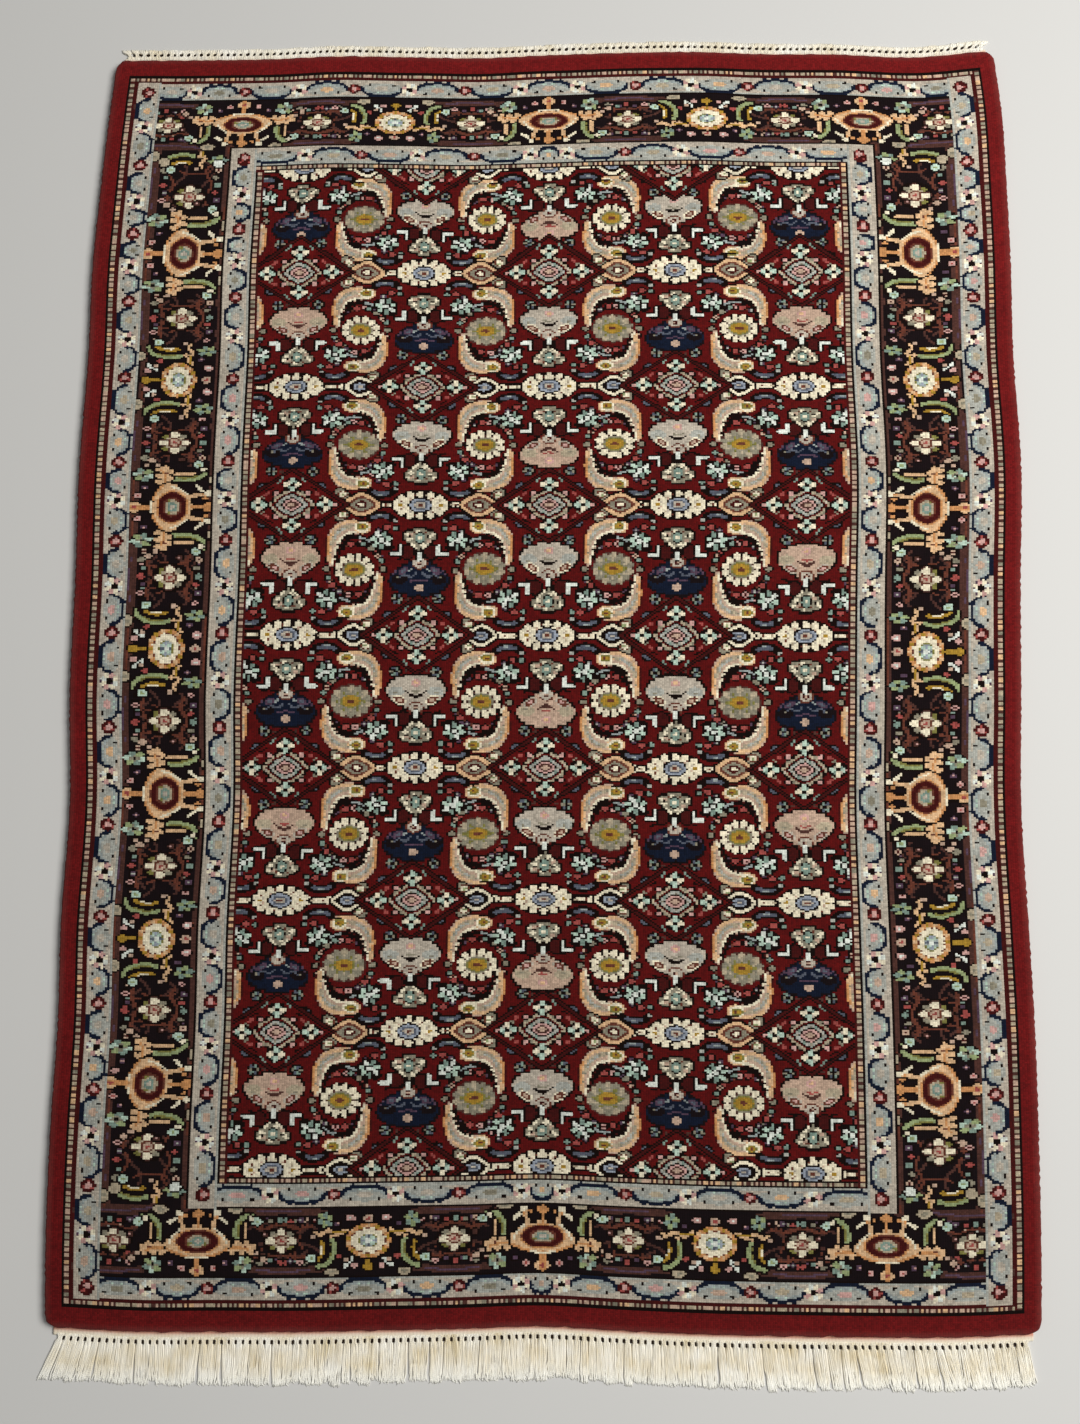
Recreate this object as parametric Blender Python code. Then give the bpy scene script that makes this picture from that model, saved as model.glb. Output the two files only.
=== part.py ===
"""Hand-knotted wool rug lying flat on the floor.

One solid is the rug itself: the wool pile with the thin cotton web that runs on past it at
both ends. The knotted cotton fringe of the near end and the short, trimmed fringe of the far
end are combs of tassels beyond that web. Units are metres, +Z is up, +X is across the rug and
+Y runs along it to the far end. The origin is under the middle of everything, on the floor.
"""

import bmesh
import bpy
import numpy as np

MM = 0.001

# Driving sizes. The pile would be a true rectangle if the rug were not slightly out of true.
PILE_WIDTH = 1240 * MM
PILE_LENGTH = 1700 * MM
PILE_HEIGHT = 12 * MM
PILE_CORNER = 16 * MM
PILE_EDGE_ROUND = 5 * MM
WEB_THICKNESS = 2.5 * MM
WEB_INSET = 9 * MM
NEAR_WEB = 12 * MM
FAR_WEB = 7 * MM
PIECE_GAP = 0.3 * MM

# The tassels: knots side by side in a row, loose ends beyond it.
FRINGE_HEIGHT = 3 * MM
FRINGE_INSET = 14 * MM
KNOT_ROW = 3 * MM
NEAR_TASSELS = 135
NEAR_REACH = 62 * MM
FAR_TASSELS = 127
FAR_REACH = 24 * MM
TASSEL_GAP = 1.6 * MM
TIP_GAP = 0.6 * MM
TIP_CHAMFER = 1.2 * MM

# How far the outline's points stand apart, and how many steps round off a corner and a rim.
OUTLINE_STEP = 42 * MM
CORNER_STEPS = 4
RIM_STEPS = 3

# How far the long edges bulge out beyond the true rectangle, at distances along the rug.
SIDE_COLUMNS = ("along", "left", "right")
SIDE_WAVE = (
    (-850, -6, -9),
    (-750, -1, -5),
    (-610, 1, -2),
    (-480, -1, -1),
    (-360, 2, -3),
    (-200, -1, -6),
    (-60, 7, 0),
    (100, 8, 6),
    (240, 11, 13),
    (420, 7, 9),
    (540, 8, 11),
    (650, 3, 10),
    (750, -3, 8),
    (850, -11, -1),
)

# How far the two ends bulge out, at distances across the rug.
END_COLUMNS = ("across", "near", "far")
END_WAVE = (
    (-610, 2, -5),
    (-500, 6, -5),
    (-400, 5, -4),
    (-300, 4, 0),
    (-200, 1, -2),
    (-100, -2, -4),
    (0, -6, 0),
    (100, -2, 3),
    (200, 1, 4),
    (300, 2, 0),
    (400, 2, -1),
    (510, 1, -6),
    (610, -4, 3),
)

# How far a tassel's tip lies to the right of its knot, at distances across the rug.
SPLAY_COLUMNS = ("across", "near", "far")
TIP_SPLAY = (
    (-610, -24, -14),
    (-580, -15, -3),
    (-540, -7, 0),
    (-400, -2, 0),
    (0, 0, 0),
    (300, 5, 1),
    (450, 10, 2),
    (560, 12, 4),
    (610, 15, 9),
)

COLOURS = {
    "rug": (0.165, 0.012, 0.016, 1.0),
    "fringe": (0.730, 0.660, 0.500, 1.0),
}


def read_table(rows, columns, name, place):
    """Value of a named column at a place, along a smooth curve through the table's rows."""
    table = np.array(rows, dtype=float) * MM
    places = table[:, 0]
    values = table[:, columns.index(name)]
    place = float(np.clip(place, places[0], places[-1]))
    slopes = np.gradient(values, places)
    row = min(int(np.searchsorted(places, place, side="right")) - 1, len(places) - 2)
    span = places[row + 1] - places[row]
    t = (place - places[row]) / span
    start = (1 + 2 * t) * (1 - t) ** 2 * values[row] + t * (1 - t) ** 2 * span * slopes[row]
    end = t**2 * (3 - 2 * t) * values[row + 1] + t**2 * (t - 1) * span * slopes[row + 1]
    return start + end


def out_of_true(x, y):
    """Move a point of the true rectangle to where the rug's uneven edges put it."""
    side = read_table(SIDE_WAVE, SIDE_COLUMNS, "right" if x > 0 else "left", y)
    end = read_table(END_WAVE, END_COLUMNS, "far" if y > 0 else "near", x)
    return x + side * x / (PILE_WIDTH / 2), y + end * y / (PILE_LENGTH / 2)


def straight(start, end):
    """Points from start up to, but not including, end, about one outline step apart."""
    start, end = np.array(start), np.array(end)
    count = max(1, round(float(np.linalg.norm(end - start)) / OUTLINE_STEP))
    return [tuple(start + (end - start) * i / count) for i in range(count)]


def rounded_rectangle(half_width, near, far, radius):
    """Outline, run anticlockwise, of a rectangle whose corners are quarter circles."""
    points = []
    right, left = half_width, -half_width
    for x, y, first_angle in ((right, near, -90), (right, far, 0), (left, far, 90), (left, near, 180)):
        centre_x = x - np.sign(x) * radius
        centre_y = y + radius if y == near else y - radius
        angles = np.radians(first_angle + np.linspace(0, 90, CORNER_STEPS + 1))
        arc = [(centre_x + radius * np.cos(a), centre_y + radius * np.sin(a)) for a in angles]
        if points:
            points += straight(points.pop(), arc[0])
        points += arc
    return points + straight(points[-1], points[0])[1:]


def comb(tassels, knot_line, tip_line, splay):
    """Outline of a row of tassels: one straight side at the web, the other cut into teeth."""
    half = PILE_WIDTH / 2 - FRINGE_INSET
    edges = np.linspace(-half, half, tassels + 1)
    side = np.sign(tip_line)
    root = knot_line + side * KNOT_ROW
    teeth = []
    for left, right in zip(edges[:-1], edges[1:]):
        lean = read_table(TIP_SPLAY, SPLAY_COLUMNS, splay, (left + right) / 2)
        tip_left, tip_right = left + lean + TIP_GAP / 2, right + lean - TIP_GAP / 2
        teeth.append(out_of_true(left + TASSEL_GAP / 2, root))
        teeth.append(out_of_true(tip_left, tip_line - side * TIP_CHAMFER))
        teeth.append(out_of_true(tip_left + TIP_CHAMFER, tip_line))
        teeth.append(out_of_true(tip_right - TIP_CHAMFER, tip_line))
        teeth.append(out_of_true(tip_right, tip_line - side * TIP_CHAMFER))
        teeth.append(out_of_true(right - TASSEL_GAP / 2, root))
    web_side = [out_of_true(x, y) for x, y in straight((half, knot_line), (-half, knot_line))]
    return teeth + web_side + [out_of_true(-half, knot_line)]


def material(name, roughness):
    """Plain coloured material of one of the rug's two kinds of yarn."""
    made = bpy.data.materials.new(name)
    made.use_nodes = True
    shader = made.node_tree.nodes["Principled BSDF"]
    shader.inputs["Base Color"].default_value = COLOURS[name]
    shader.inputs["Roughness"].default_value = roughness
    shader.inputs["Metallic"].default_value = 0.0
    made.diffuse_color = COLOURS[name]
    return made


def collection(name):
    """New collection in the scene."""
    made = bpy.data.collections.new(name)
    bpy.context.scene.collection.children.link(made)
    return made


def flat_solid(name, outline, height, yarn, group):
    """Flat-bottomed slab of an outline, standing on the floor."""
    curve = bpy.data.curves.new(name, "CURVE")
    curve.dimensions = "2D"
    curve.fill_mode = "BOTH"
    curve.extrude = height / 2
    spline = curve.splines.new("POLY")
    spline.points.add(len(outline) - 1)
    for point, (x, y) in zip(spline.points, outline):
        point.co = (x, y, 0, 1)
    spline.use_cyclic_u = True
    guide = bpy.data.objects.new(name + "_outline", curve)
    group.objects.link(guide)
    seen = bpy.context.evaluated_depsgraph_get()
    mesh = bpy.data.meshes.new_from_object(guide.evaluated_get(seen))
    bpy.data.objects.remove(guide)
    shape = bmesh.new()
    shape.from_mesh(mesh)
    bmesh.ops.remove_doubles(shape, verts=shape.verts, dist=0.01 * MM)
    bmesh.ops.translate(shape, verts=shape.verts, vec=(0, 0, height / 2))
    bmesh.ops.recalc_face_normals(shape, faces=shape.faces)
    shape.to_mesh(mesh)
    shape.free()
    mesh.name = name
    mesh.materials.clear()
    mesh.materials.append(yarn)
    solid = bpy.data.objects.new(name, mesh)
    group.objects.link(solid)
    return solid


def round_top_rim(solid, width):
    """Round off the rim where a slab's top meets its sides."""
    shape = bmesh.new()
    shape.from_mesh(solid.data)
    rim = []
    for edge in shape.edges:
        tilts = sorted(abs(face.normal.z) for face in edge.link_faces)
        if tilts[0] < 0.5 < tilts[-1] and edge.verts[0].co.z > width:
            rim.append(edge)
    bmesh.ops.bevel(shape, geom=rim, offset=width, segments=RIM_STEPS, profile=0.5, affect="EDGES")
    shape.to_mesh(solid.data)
    shape.free()


def join(solid, other):
    """Make one body of two that overlap."""
    union = solid.modifiers.new("join", "BOOLEAN")
    union.operation = "UNION"
    union.solver = "EXACT"
    union.object = other
    other.hide_render = True
    other.display_type = "WIRE"


def build():
    """Make the rug and its two fringes, then centre them over the origin."""
    for old in list(bpy.data.objects):
        bpy.data.objects.remove(old)
    parts = collection("persian_rug")
    helpers = collection("joined_shapes")
    wool = material("rug", 0.95)
    cotton = material("fringe", 0.90)

    near, far = -PILE_LENGTH / 2, PILE_LENGTH / 2
    near_web, far_web = near - NEAR_WEB, far + FAR_WEB
    pile_outline = rounded_rectangle(PILE_WIDTH / 2, near, far, PILE_CORNER)
    web_outline = rounded_rectangle(PILE_WIDTH / 2 - WEB_INSET, near_web, far_web, FAR_WEB / 2)
    near_comb = comb(NEAR_TASSELS, near_web - PIECE_GAP, near - NEAR_REACH, "near")
    far_comb = comb(FAR_TASSELS, far_web + PIECE_GAP, far + FAR_REACH, "far")

    outlines = {
        "pile": [out_of_true(x, y) for x, y in pile_outline],
        "web": [out_of_true(x, y) for x, y in web_outline],
        "near": near_comb,
        "far": far_comb,
    }
    every_point = np.array([point for outline in outlines.values() for point in outline])
    middle = (every_point.min(axis=0) + every_point.max(axis=0)) / 2
    for name, outline in outlines.items():
        outlines[name] = [tuple(np.array(point) - middle) for point in outline]

    rug = flat_solid("rug", outlines["pile"], PILE_HEIGHT, wool, parts)
    round_top_rim(rug, PILE_EDGE_ROUND)
    web = flat_solid("web", outlines["web"], WEB_THICKNESS, wool, helpers)
    join(rug, web)
    flat_solid("fringe_near", outlines["near"], FRINGE_HEIGHT, cotton, parts)
    flat_solid("fringe_far", outlines["far"], FRINGE_HEIGHT, cotton, parts)


build()
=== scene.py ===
# %% [markdown]
# # A hand-knotted wool rug, looked at from above
# The real rug is a cotton web stretched on a loom. A weaver ties one short tuft of dyed wool
# after another round pairs of its threads, row by row, after a chart, and shears the tufts to
# one height. So this lesson first paints the chart, knot by knot, and then lays it out as pile.
# The cotton threads that the web leaves over at both ends are knotted into a fringe.
#
# The CAD model fixes where everything is. Every length below is in millimetres in the plan of
# the rug, with the middle of the pile at nought, and becomes metres where a mesh is made.

# %% Load the fixed frame
import math

import bpy
import numpy as np
from mathutils import Matrix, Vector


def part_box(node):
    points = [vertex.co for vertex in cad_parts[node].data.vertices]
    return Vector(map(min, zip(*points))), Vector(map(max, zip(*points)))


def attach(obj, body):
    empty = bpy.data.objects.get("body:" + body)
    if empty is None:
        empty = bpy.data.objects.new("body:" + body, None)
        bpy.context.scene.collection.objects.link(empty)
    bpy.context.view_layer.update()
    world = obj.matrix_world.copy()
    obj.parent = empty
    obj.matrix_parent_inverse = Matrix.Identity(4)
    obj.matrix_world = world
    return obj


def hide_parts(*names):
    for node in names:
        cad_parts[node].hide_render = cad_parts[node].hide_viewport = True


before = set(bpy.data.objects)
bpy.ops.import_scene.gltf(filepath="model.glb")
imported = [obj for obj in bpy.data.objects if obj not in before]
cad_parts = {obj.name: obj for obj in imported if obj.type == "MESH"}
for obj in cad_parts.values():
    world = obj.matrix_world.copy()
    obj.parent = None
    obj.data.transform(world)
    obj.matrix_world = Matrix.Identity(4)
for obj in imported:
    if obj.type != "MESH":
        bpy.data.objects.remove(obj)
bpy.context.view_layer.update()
MM = 0.001

# %% [markdown]
# ## The camera
# The photograph was taken standing at the rug's near end and looking almost straight down, so
# the near fringe is a little larger than the far one. Eye point and direction were worked out
# from where the four corners of the pile are seen. The focal length is given in pixels of the
# photograph's long side, and becomes Blender's lens by the ratio of sensor to picture.

# %% Place the camera
PICTURE_TALL = 1424
FOCAL_PIXELS = 1400
SENSOR_MM = 36
EYE = (27.5, -323.4, 1819.4)
FORWARD = (-0.01915, 0.14358, -0.98945)
PICTURE_UP = (-0.00388, 0.98962, 0.14367)


def standing(place, right, back):
    """Rows of the matrix of something at a place in millimetres that faces away from back."""
    axes = np.stack([right, np.cross(back, right), back, np.array(place) * MM], axis=1)
    return np.vstack([axes, (0, 0, 0, 1)])


def add_camera(eye, forward, up):
    """Camera at a point in millimetres, looking along forward with up towards the picture's top."""
    data = bpy.data.cameras.new("camera")
    data.sensor_width = SENSOR_MM
    data.lens = SENSOR_MM * FOCAL_PIXELS / PICTURE_TALL
    camera = bpy.data.objects.new("camera", data)
    bpy.context.scene.collection.objects.link(camera)
    back = -np.array(forward) / np.linalg.norm(forward)
    right = np.cross(up, back)
    right /= np.linalg.norm(right)
    camera.matrix_world = Matrix(standing(eye, right, back))
    return camera


bpy.context.scene.camera = add_camera(EYE, FORWARD, PICTURE_UP)
print("lens:", round(bpy.context.scene.camera.data.lens, 2), "mm")

# %% [markdown]
# ## Colours and nodes
# Dyers and photographs name colours as sRGB. A shader needs linear light, so one function
# turns every hex value into linear numbers. A second one adds any node to a material, sets its
# values and joins its inputs, so that a material reads as a list of steps.

# %% Two helpers for colours and nodes
def linear(hex_colour):
    """Linear red, green, blue and alpha of an sRGB hex colour."""
    parts = [int(hex_colour[i:i + 2], 16) / 255 for i in (1, 3, 5)]
    return tuple(c / 12.92 if c <= 0.04045 else ((c + 0.055) / 1.055) ** 2.4 for c in parts) + (1.0,)


def add_node(tree, kind, links=None, values=None, **settings):
    """Add one node: links and values are given by the input's name or number."""
    node = tree.nodes.new("ShaderNode" + kind)
    for name, value in settings.items():
        setattr(node, name, value)
    for name, value in (values or {}).items():
        node.inputs[name].default_value = value
    for name, socket in (links or {}).items():
        tree.links.new(socket, node.inputs[name])
    return node


def new_material(name):
    """Empty material with its output node, to which a shader is joined."""
    material = bpy.data.materials.new(name)
    material.use_nodes = True
    material.node_tree.nodes.clear()
    return material, material.node_tree


print("madder red in linear light:", [round(c, 4) for c in linear("#5C1115")])

# %% [markdown]
# ## The floor and the light
# The rug lies on a plain pale floor. Daylight comes from a window at its right and far side: a
# large soft lamp gives it, and a dimmer sky fills the shadows, so only a narrow soft shadow
# shows at the rug's left edge.

# %% Floor, window and sky
FLOOR_SIDE = 12000
FLOOR_COLOUR = "#D2D0CB"
WINDOW_PLACE = (2700, 500, 3500)
WINDOW_SIZE = 2200
WINDOW_POWER = 212
SKY_COLOUR = "#EEF0F2"
SKY_STRENGTH = 0.22


def add_floor():
    """One large matt square under the rug."""
    half = FLOOR_SIDE * MM / 2
    mesh = bpy.data.meshes.new("floor")
    corners = [(-half, -half, 0), (half, -half, 0), (half, half, 0), (-half, half, 0)]
    mesh.from_pydata(corners, [], [(0, 1, 2, 3)])
    floor = bpy.data.objects.new("floor", mesh)
    bpy.context.scene.collection.objects.link(floor)
    material, tree = new_material("matt_floor_paint")
    shader = add_node(tree, "BsdfPrincipled", values={"Base Color": linear(FLOOR_COLOUR), "Roughness": 0.8})
    add_node(tree, "OutputMaterial", links={"Surface": shader.outputs[0]})
    mesh.materials.append(material)
    return floor


def add_window(place, size, power):
    """Soft square lamp that faces the middle of the rug."""
    data = bpy.data.lights.new("window", "AREA")
    data.size = size * MM
    data.energy = power
    lamp = bpy.data.objects.new("window", data)
    bpy.context.scene.collection.objects.link(lamp)
    back = np.array(place) / np.linalg.norm(place)
    right = np.cross((0, 1, 0), back)
    right /= np.linalg.norm(right)
    lamp.matrix_world = Matrix(standing(place, right, back))
    return lamp


def add_sky(colour, strength):
    """Even light from all sides."""
    world = bpy.data.worlds.new("sky")
    world.use_nodes = True
    background = world.node_tree.nodes["Background"]
    background.inputs["Color"].default_value = linear(colour)
    background.inputs["Strength"].default_value = strength
    bpy.context.scene.world = world


add_floor()
add_window(WINDOW_PLACE, WINDOW_SIZE, WINDOW_POWER)
add_sky(SKY_COLOUR, SKY_STRENGTH)
bpy.context.scene.view_settings.view_transform = "Standard"
print("floor, window and sky are in place")

# %% [markdown]
# ## The shape of the rug in plan
# No hand-knotted rug is a true rectangle: the web is drawn in where the weaver beat harder.
# The tables give how far each edge bulges out, and they are those of the CAD model. Two more
# tables move the design inside the edges: its rows drift along the rug, and its middle wanders.
# A smooth curve through each table is read wherever a point of the rug is placed. The CAD
# model's box, which reaches to the far web's edge, then tells where the pile's middle lies.

# %% Edges out of true
PILE_WIDE = 1240
PILE_LONG = 1700
HALF_WIDE = PILE_WIDE / 2
HALF_LONG = PILE_LONG / 2
FAR_WEB = 7
PLAN_POINTS = 1701

# (along the rug, left edge out, right edge out)
SIDE_WAVE = np.array([
    (-850, -6, -9), (-750, -1, -5), (-610, 1, -2), (-480, -1, -1), (-360, 2, -3),
    (-200, -1, -6), (-60, 7, 0), (100, 8, 6), (240, 11, 13), (420, 7, 9),
    (540, 8, 11), (650, 3, 10), (750, -3, 8), (850, -11, -1),
], float)
# (across the rug, near end out, far end out)
END_WAVE = np.array([
    (-610, 2, -5), (-500, 6, -5), (-400, 5, -4), (-300, 4, 0), (-200, 1, -2),
    (-100, -2, -4), (0, -6, 0), (100, -2, 3), (200, 1, 4), (300, 2, 0),
    (400, 2, -1), (510, 1, -6), (610, -4, 3),
], float)
# (row of the chart, where that row lies on the rug, how far its middle stands to the right)
ROW_DRIFT = np.array([
    (-850, 0, 0), (-785, 1, 0), (-703, 2, 0), (-669, 2, 0), (-490, 0, -1), (-320, -5, 0),
    (-151, -4, 1), (18, 2, 2), (188, 10, 4), (357, 6, 3), (527, 0, 2), (669, 11, 1),
    (703, 10, 0), (785, 0, 0), (850, 0, 0),
], float)


def read_table(table, column, places):
    """Values of one column of a table at many places, along a smooth curve through its rows."""
    rows, values = table[:, 0], table[:, column]
    places = np.clip(places, rows[0], rows[-1])
    slopes = np.gradient(values, rows)
    row = np.clip(np.searchsorted(rows, places, side="right") - 1, 0, len(rows) - 2)
    span = rows[row + 1] - rows[row]
    t = (places - rows[row]) / span
    start = (1 + 2 * t) * (1 - t) ** 2 * values[row] + t * (1 - t) ** 2 * span * slopes[row]
    end = t**2 * (3 - 2 * t) * values[row + 1] + t**2 * (t - 1) * span * slopes[row + 1]
    return start + end


def out_of_true(x, y):
    """Move points of the true rectangle to where the rug's uneven edges put them."""
    side = np.where(x > 0, read_table(SIDE_WAVE, 2, y), read_table(SIDE_WAVE, 1, y))
    end = np.where(y > 0, read_table(END_WAVE, 2, x), read_table(END_WAVE, 1, x))
    return x + side * x / HALF_WIDE, y + end * y / HALF_LONG


def drifted(x, y):
    """Move points of the chart to where the rows of the rug carry them."""
    middle = read_table(ROW_DRIFT, 2, y) * (1 - (x / HALF_WIDE) ** 2)
    return x + middle, y + read_table(ROW_DRIFT, 1, y)


low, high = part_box("rug")
along_side = np.linspace(-HALF_LONG, HALF_LONG, PLAN_POINTS)
along_end = np.linspace(-HALF_WIDE, HALF_WIDE, PLAN_POINTS)
right_side = out_of_true(np.full(PLAN_POINTS, HALF_WIDE), along_side)[0]
left_side = out_of_true(np.full(PLAN_POINTS, -HALF_WIDE), along_side)[0]
far_side = out_of_true(along_end, np.full(PLAN_POINTS, HALF_LONG + FAR_WEB))[1]
MIDDLE = ((low[0] + high[0]) / 2 / MM - (left_side.min() + right_side.max()) / 2,
          high[1] / MM - far_side.max())
print("middle of the pile in the CAD frame:", [round(v, 2) for v in MIDDLE], "mm")

# %% [markdown]
# ## The chart and its dyes
# Weavers read a chart with one square for each knot. This rug has about 34 knots to 10 cm
# across and 48 along, so its chart is 420 squares wide and 814 long. The dyes are few: madder
# and walnut reds, indigo, undyed white and the soft shades between. The chart holds the number
# of the dye of each knot, and is painted by rule below, motif by motif, as a designer does.

# %% Dyes and an empty chart
COLUMNS = 420
ROWS = 814
KNOT_WIDE = PILE_WIDE / COLUMNS
KNOT_LONG = PILE_LONG / ROWS
DYES = {
    "madder": "#5A0E0D", "band": "#6C1414", "wine": "#43100E", "rose": "#A04C46",
    "pink": "#CDA096", "fawn": "#C2A48D", "peach": "#DDB488", "orange": "#CB8F5A",
    "ochre": "#A8832F", "brown": "#68382A", "walnut": "#4E3029", "plum": "#564050",
    "navy": "#150B0D", "indigo": "#10182A", "black": "#120603", "cream": "#EFE3C4",
    "white": "#DFE3D6", "mint": "#B9CFBB", "green": "#96A272", "sage": "#7F9486",
    "tan": "#B3A489", "sand": "#BCB09E", "grey": "#ABABA0", "blue": "#989FA9",
    "slate": "#585D68", "teal": "#9AA29E", "drab": "#8D8672", "olive": "#7F7A40",
}
DYE_NUMBER = {name: number for number, name in enumerate(DYES)}
chart = np.full((ROWS, COLUMNS), DYE_NUMBER["band"], dtype=np.uint8)
knot_x = (np.arange(COLUMNS) + 0.5) * KNOT_WIDE - HALF_WIDE
knot_y = (np.arange(ROWS) + 0.5) * KNOT_LONG - HALF_LONG
hand = np.random.default_rng(7)
print(f"{chart.size} knots of {KNOT_WIDE:.2f} x {KNOT_LONG:.2f} mm, {len(DYES)} dyes")

# %% [markdown]
# ## A pencil for the chart
# Every motif is made from a few marks: a filled shape, a bar, an oval, a line and a ring of
# petals. The pencil keeps a place, a turn and a stretch, and can be mirrored, because each motif
# comes back many times and mostly in mirrored pairs. A mark colours the knots whose middles lie
# inside it, as a designer fills squares, so slanting edges come out in steps, as on the real rug.

# %% The pencil
CURVE_STEPS = 3
OVAL_CORNERS = 16


def smooth_curve(points, closed):
    """Run a smooth curve through points."""
    points = np.asarray(points, float)
    count = len(points)
    if count < 3:
        return points
    first = np.arange(count if closed else count - 1)
    if closed:
        around = [points[(first + step) % count] for step in (-1, 0, 1, 2)]
    else:
        around = [points[np.clip(first + step, 0, count - 1)] for step in (-1, 0, 1, 2)]
    a, b, c, d = [corner[:, None, :] for corner in around]
    t = (np.arange(CURVE_STEPS) / CURVE_STEPS)[None, :, None]
    curve = b + 0.5 * ((c - a) * t + (2 * a - 5 * b + 4 * c - d) * t**2 + (3 * b - a - 3 * c + d) * t**3)
    curve = curve.reshape(-1, 2)
    return curve if closed else np.vstack([curve, points[-1]])


def reach(outline, x, y, closed):
    """Distance of each knot from a line, and whether it lies inside it."""
    ends = np.roll(outline, -1, axis=0) if closed else outline[1:]
    starts = outline if closed else outline[:-1]
    run = (ends - starts).astype(np.float32)
    dx, dy = run[:, 0], run[:, 1]
    from_x = x.ravel()[:, None].astype(np.float32) - starts[:, 0].astype(np.float32)
    from_y = y.ravel()[:, None].astype(np.float32) - starts[:, 1].astype(np.float32)
    t = np.clip((from_x * dx + from_y * dy) / (dx * dx + dy * dy + 1e-9), 0, 1)
    gap = np.sqrt(((from_x - t * dx) ** 2 + (from_y - t * dy) ** 2).min(axis=1)).reshape(x.shape)
    rise = np.where(np.abs(dy) > 1e-9, dy, 1e-9)
    crossed = ((from_y < 0) != (from_y - dy < 0)) & (from_x < from_y * dx / rise)
    return gap, (crossed.sum(axis=1) % 2 == 1).reshape(x.shape)


class Pencil:
    """Marks the chart about a place. Flip is 1 or -1, turn is in radians."""

    def __init__(self, x, y, flip_x=1, flip_y=1, turn=0.0, wide=1.0, tall=1.0):
        self.place, self.flip = np.array((x, y), float), (flip_x, flip_y)
        self.turn, self.size = turn, (wide, tall)

    def moved(self, points):
        """Points of the motif as points of the chart."""
        points = np.asarray(points, float).reshape(-1, 2) * self.flip * np.array(self.size)
        c, s = math.cos(self.turn), math.sin(self.turn)
        return points @ np.array([[c, s], [-s, c]]) + self.place

    def at(self, x, y, flip_x=1, flip_y=1, wide=1.0, tall=1.0):
        """Pencil at another place of the same motif, perhaps mirrored or stretched."""
        (new_x, new_y), = self.moved([(x, y)])
        return Pencil(new_x, new_y, self.flip[0] * flip_x, self.flip[1] * flip_y, self.turn,
                      self.size[0] * wide, self.size[1] * tall)

    def mark(self, outline, dye, edge, edge_width, closed):
        """Dye the knots inside an outline, or within half a width of an open line."""
        margin = edge_width + KNOT_WIDE
        least, most = outline.min(axis=0) - margin, outline.max(axis=0) + margin
        columns = slice(*np.searchsorted(knot_x, (least[0], most[0])))
        rows = slice(*np.searchsorted(knot_y, (least[1], most[1])))
        x, y = np.meshgrid(knot_x[columns], knot_y[rows])
        if x.size == 0:
            return
        gap, inside = reach(outline, x, y, closed)
        knots = chart[rows, columns]
        if not closed:
            knots[gap < edge_width / 2] = DYE_NUMBER[dye]
            return
        if edge:
            knots[inside | (gap < edge_width)] = DYE_NUMBER[edge]
        knots[inside] = DYE_NUMBER[dye]

    def shape(self, points, dye, edge=None, edge_width=2.4, curved=True):
        """Filled shape, with a rim of another dye outside it if one is named."""
        outline = self.moved(points)
        self.mark(smooth_curve(outline, True) if curved else outline, dye, edge, edge_width, True)

    def bar(self, start, end, low, high, dye):
        """Filled rectangle."""
        self.shape([(start, low), (end, low), (end, high), (start, high)], dye, curved=False)

    def oval(self, x, y, wide, tall, dye, edge=None, edge_width=2.2, lean=0.0):
        """Filled oval with half its width and height given, leaning by an angle."""
        angles = np.arange(OVAL_CORNERS) * 2 * math.pi / OVAL_CORNERS
        c, s = math.cos(lean), math.sin(lean)
        leaning = np.array([[c, s], [-s, c]])
        round_points = np.stack([wide * np.cos(angles), tall * np.sin(angles)], 1) @ leaning
        self.shape(round_points + (x, y), dye, edge, edge_width, curved=False)

    def line(self, points, width, dye, curved=True):
        """Open line of a width."""
        path = self.moved(points)
        self.mark(smooth_curve(path, False) if curved else path, dye, None, width, False)

    def petals(self, x, y, wide, tall, count, size, dyes, start=0.0, slim=0.78):
        """Ring of small ovals in turn of the dyes given, each pointing outward like a petal."""
        for k in range(count):
            angle = (k + start) * 2 * math.pi / count
            self.oval(x + wide * math.cos(angle), y + tall * math.sin(angle), size, size * slim,
                      dyes[k % len(dyes)], lean=angle)


print("the smallest mark is one knot,", round(KNOT_WIDE, 2), "mm wide")

# %% [markdown]
# ## Outlines and stems by rule
# Four small rules give the points of most shapes. Stems and curled leaves are arcs of ovals or
# waves. A palmette or a tulip is a mirror outline that widens and narrows in steps, fullest
# where its lean puts it. A crescent is what lies between two arcs.

# %% Arc, wave, stairs and crescent
def arc(x, y, wide, tall, start, end, count=7):
    """Points along part of an oval, between two angles in degrees."""
    angle = np.radians(np.linspace(start, end, count))
    return list(zip(x + wide * np.cos(angle), y + tall * np.sin(angle)))


def wave(start, end, y, swing, turns, count=9):
    """Points of a stem that swings to and fro about a height."""
    part = np.linspace(0, 1, count)
    return list(zip(start + (end - start) * part, y + swing * np.sin(2 * math.pi * turns * part)))


def stairs(wide, first, last, rows, lean, fullness):
    """Mirror outline that widens and narrows in steps, as a shape does when it is knotted."""
    step = (last - first) / rows
    half = []
    for row in range(rows):
        part = ((row + 0.5) / rows) ** lean
        reach_out = wide * math.sin(math.pi * part) ** fullness
        half += [(reach_out, first + row * step), (reach_out, first + (row + 1) * step)]
    return half + [(-x, y) for x, y in reversed(half)]


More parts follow.
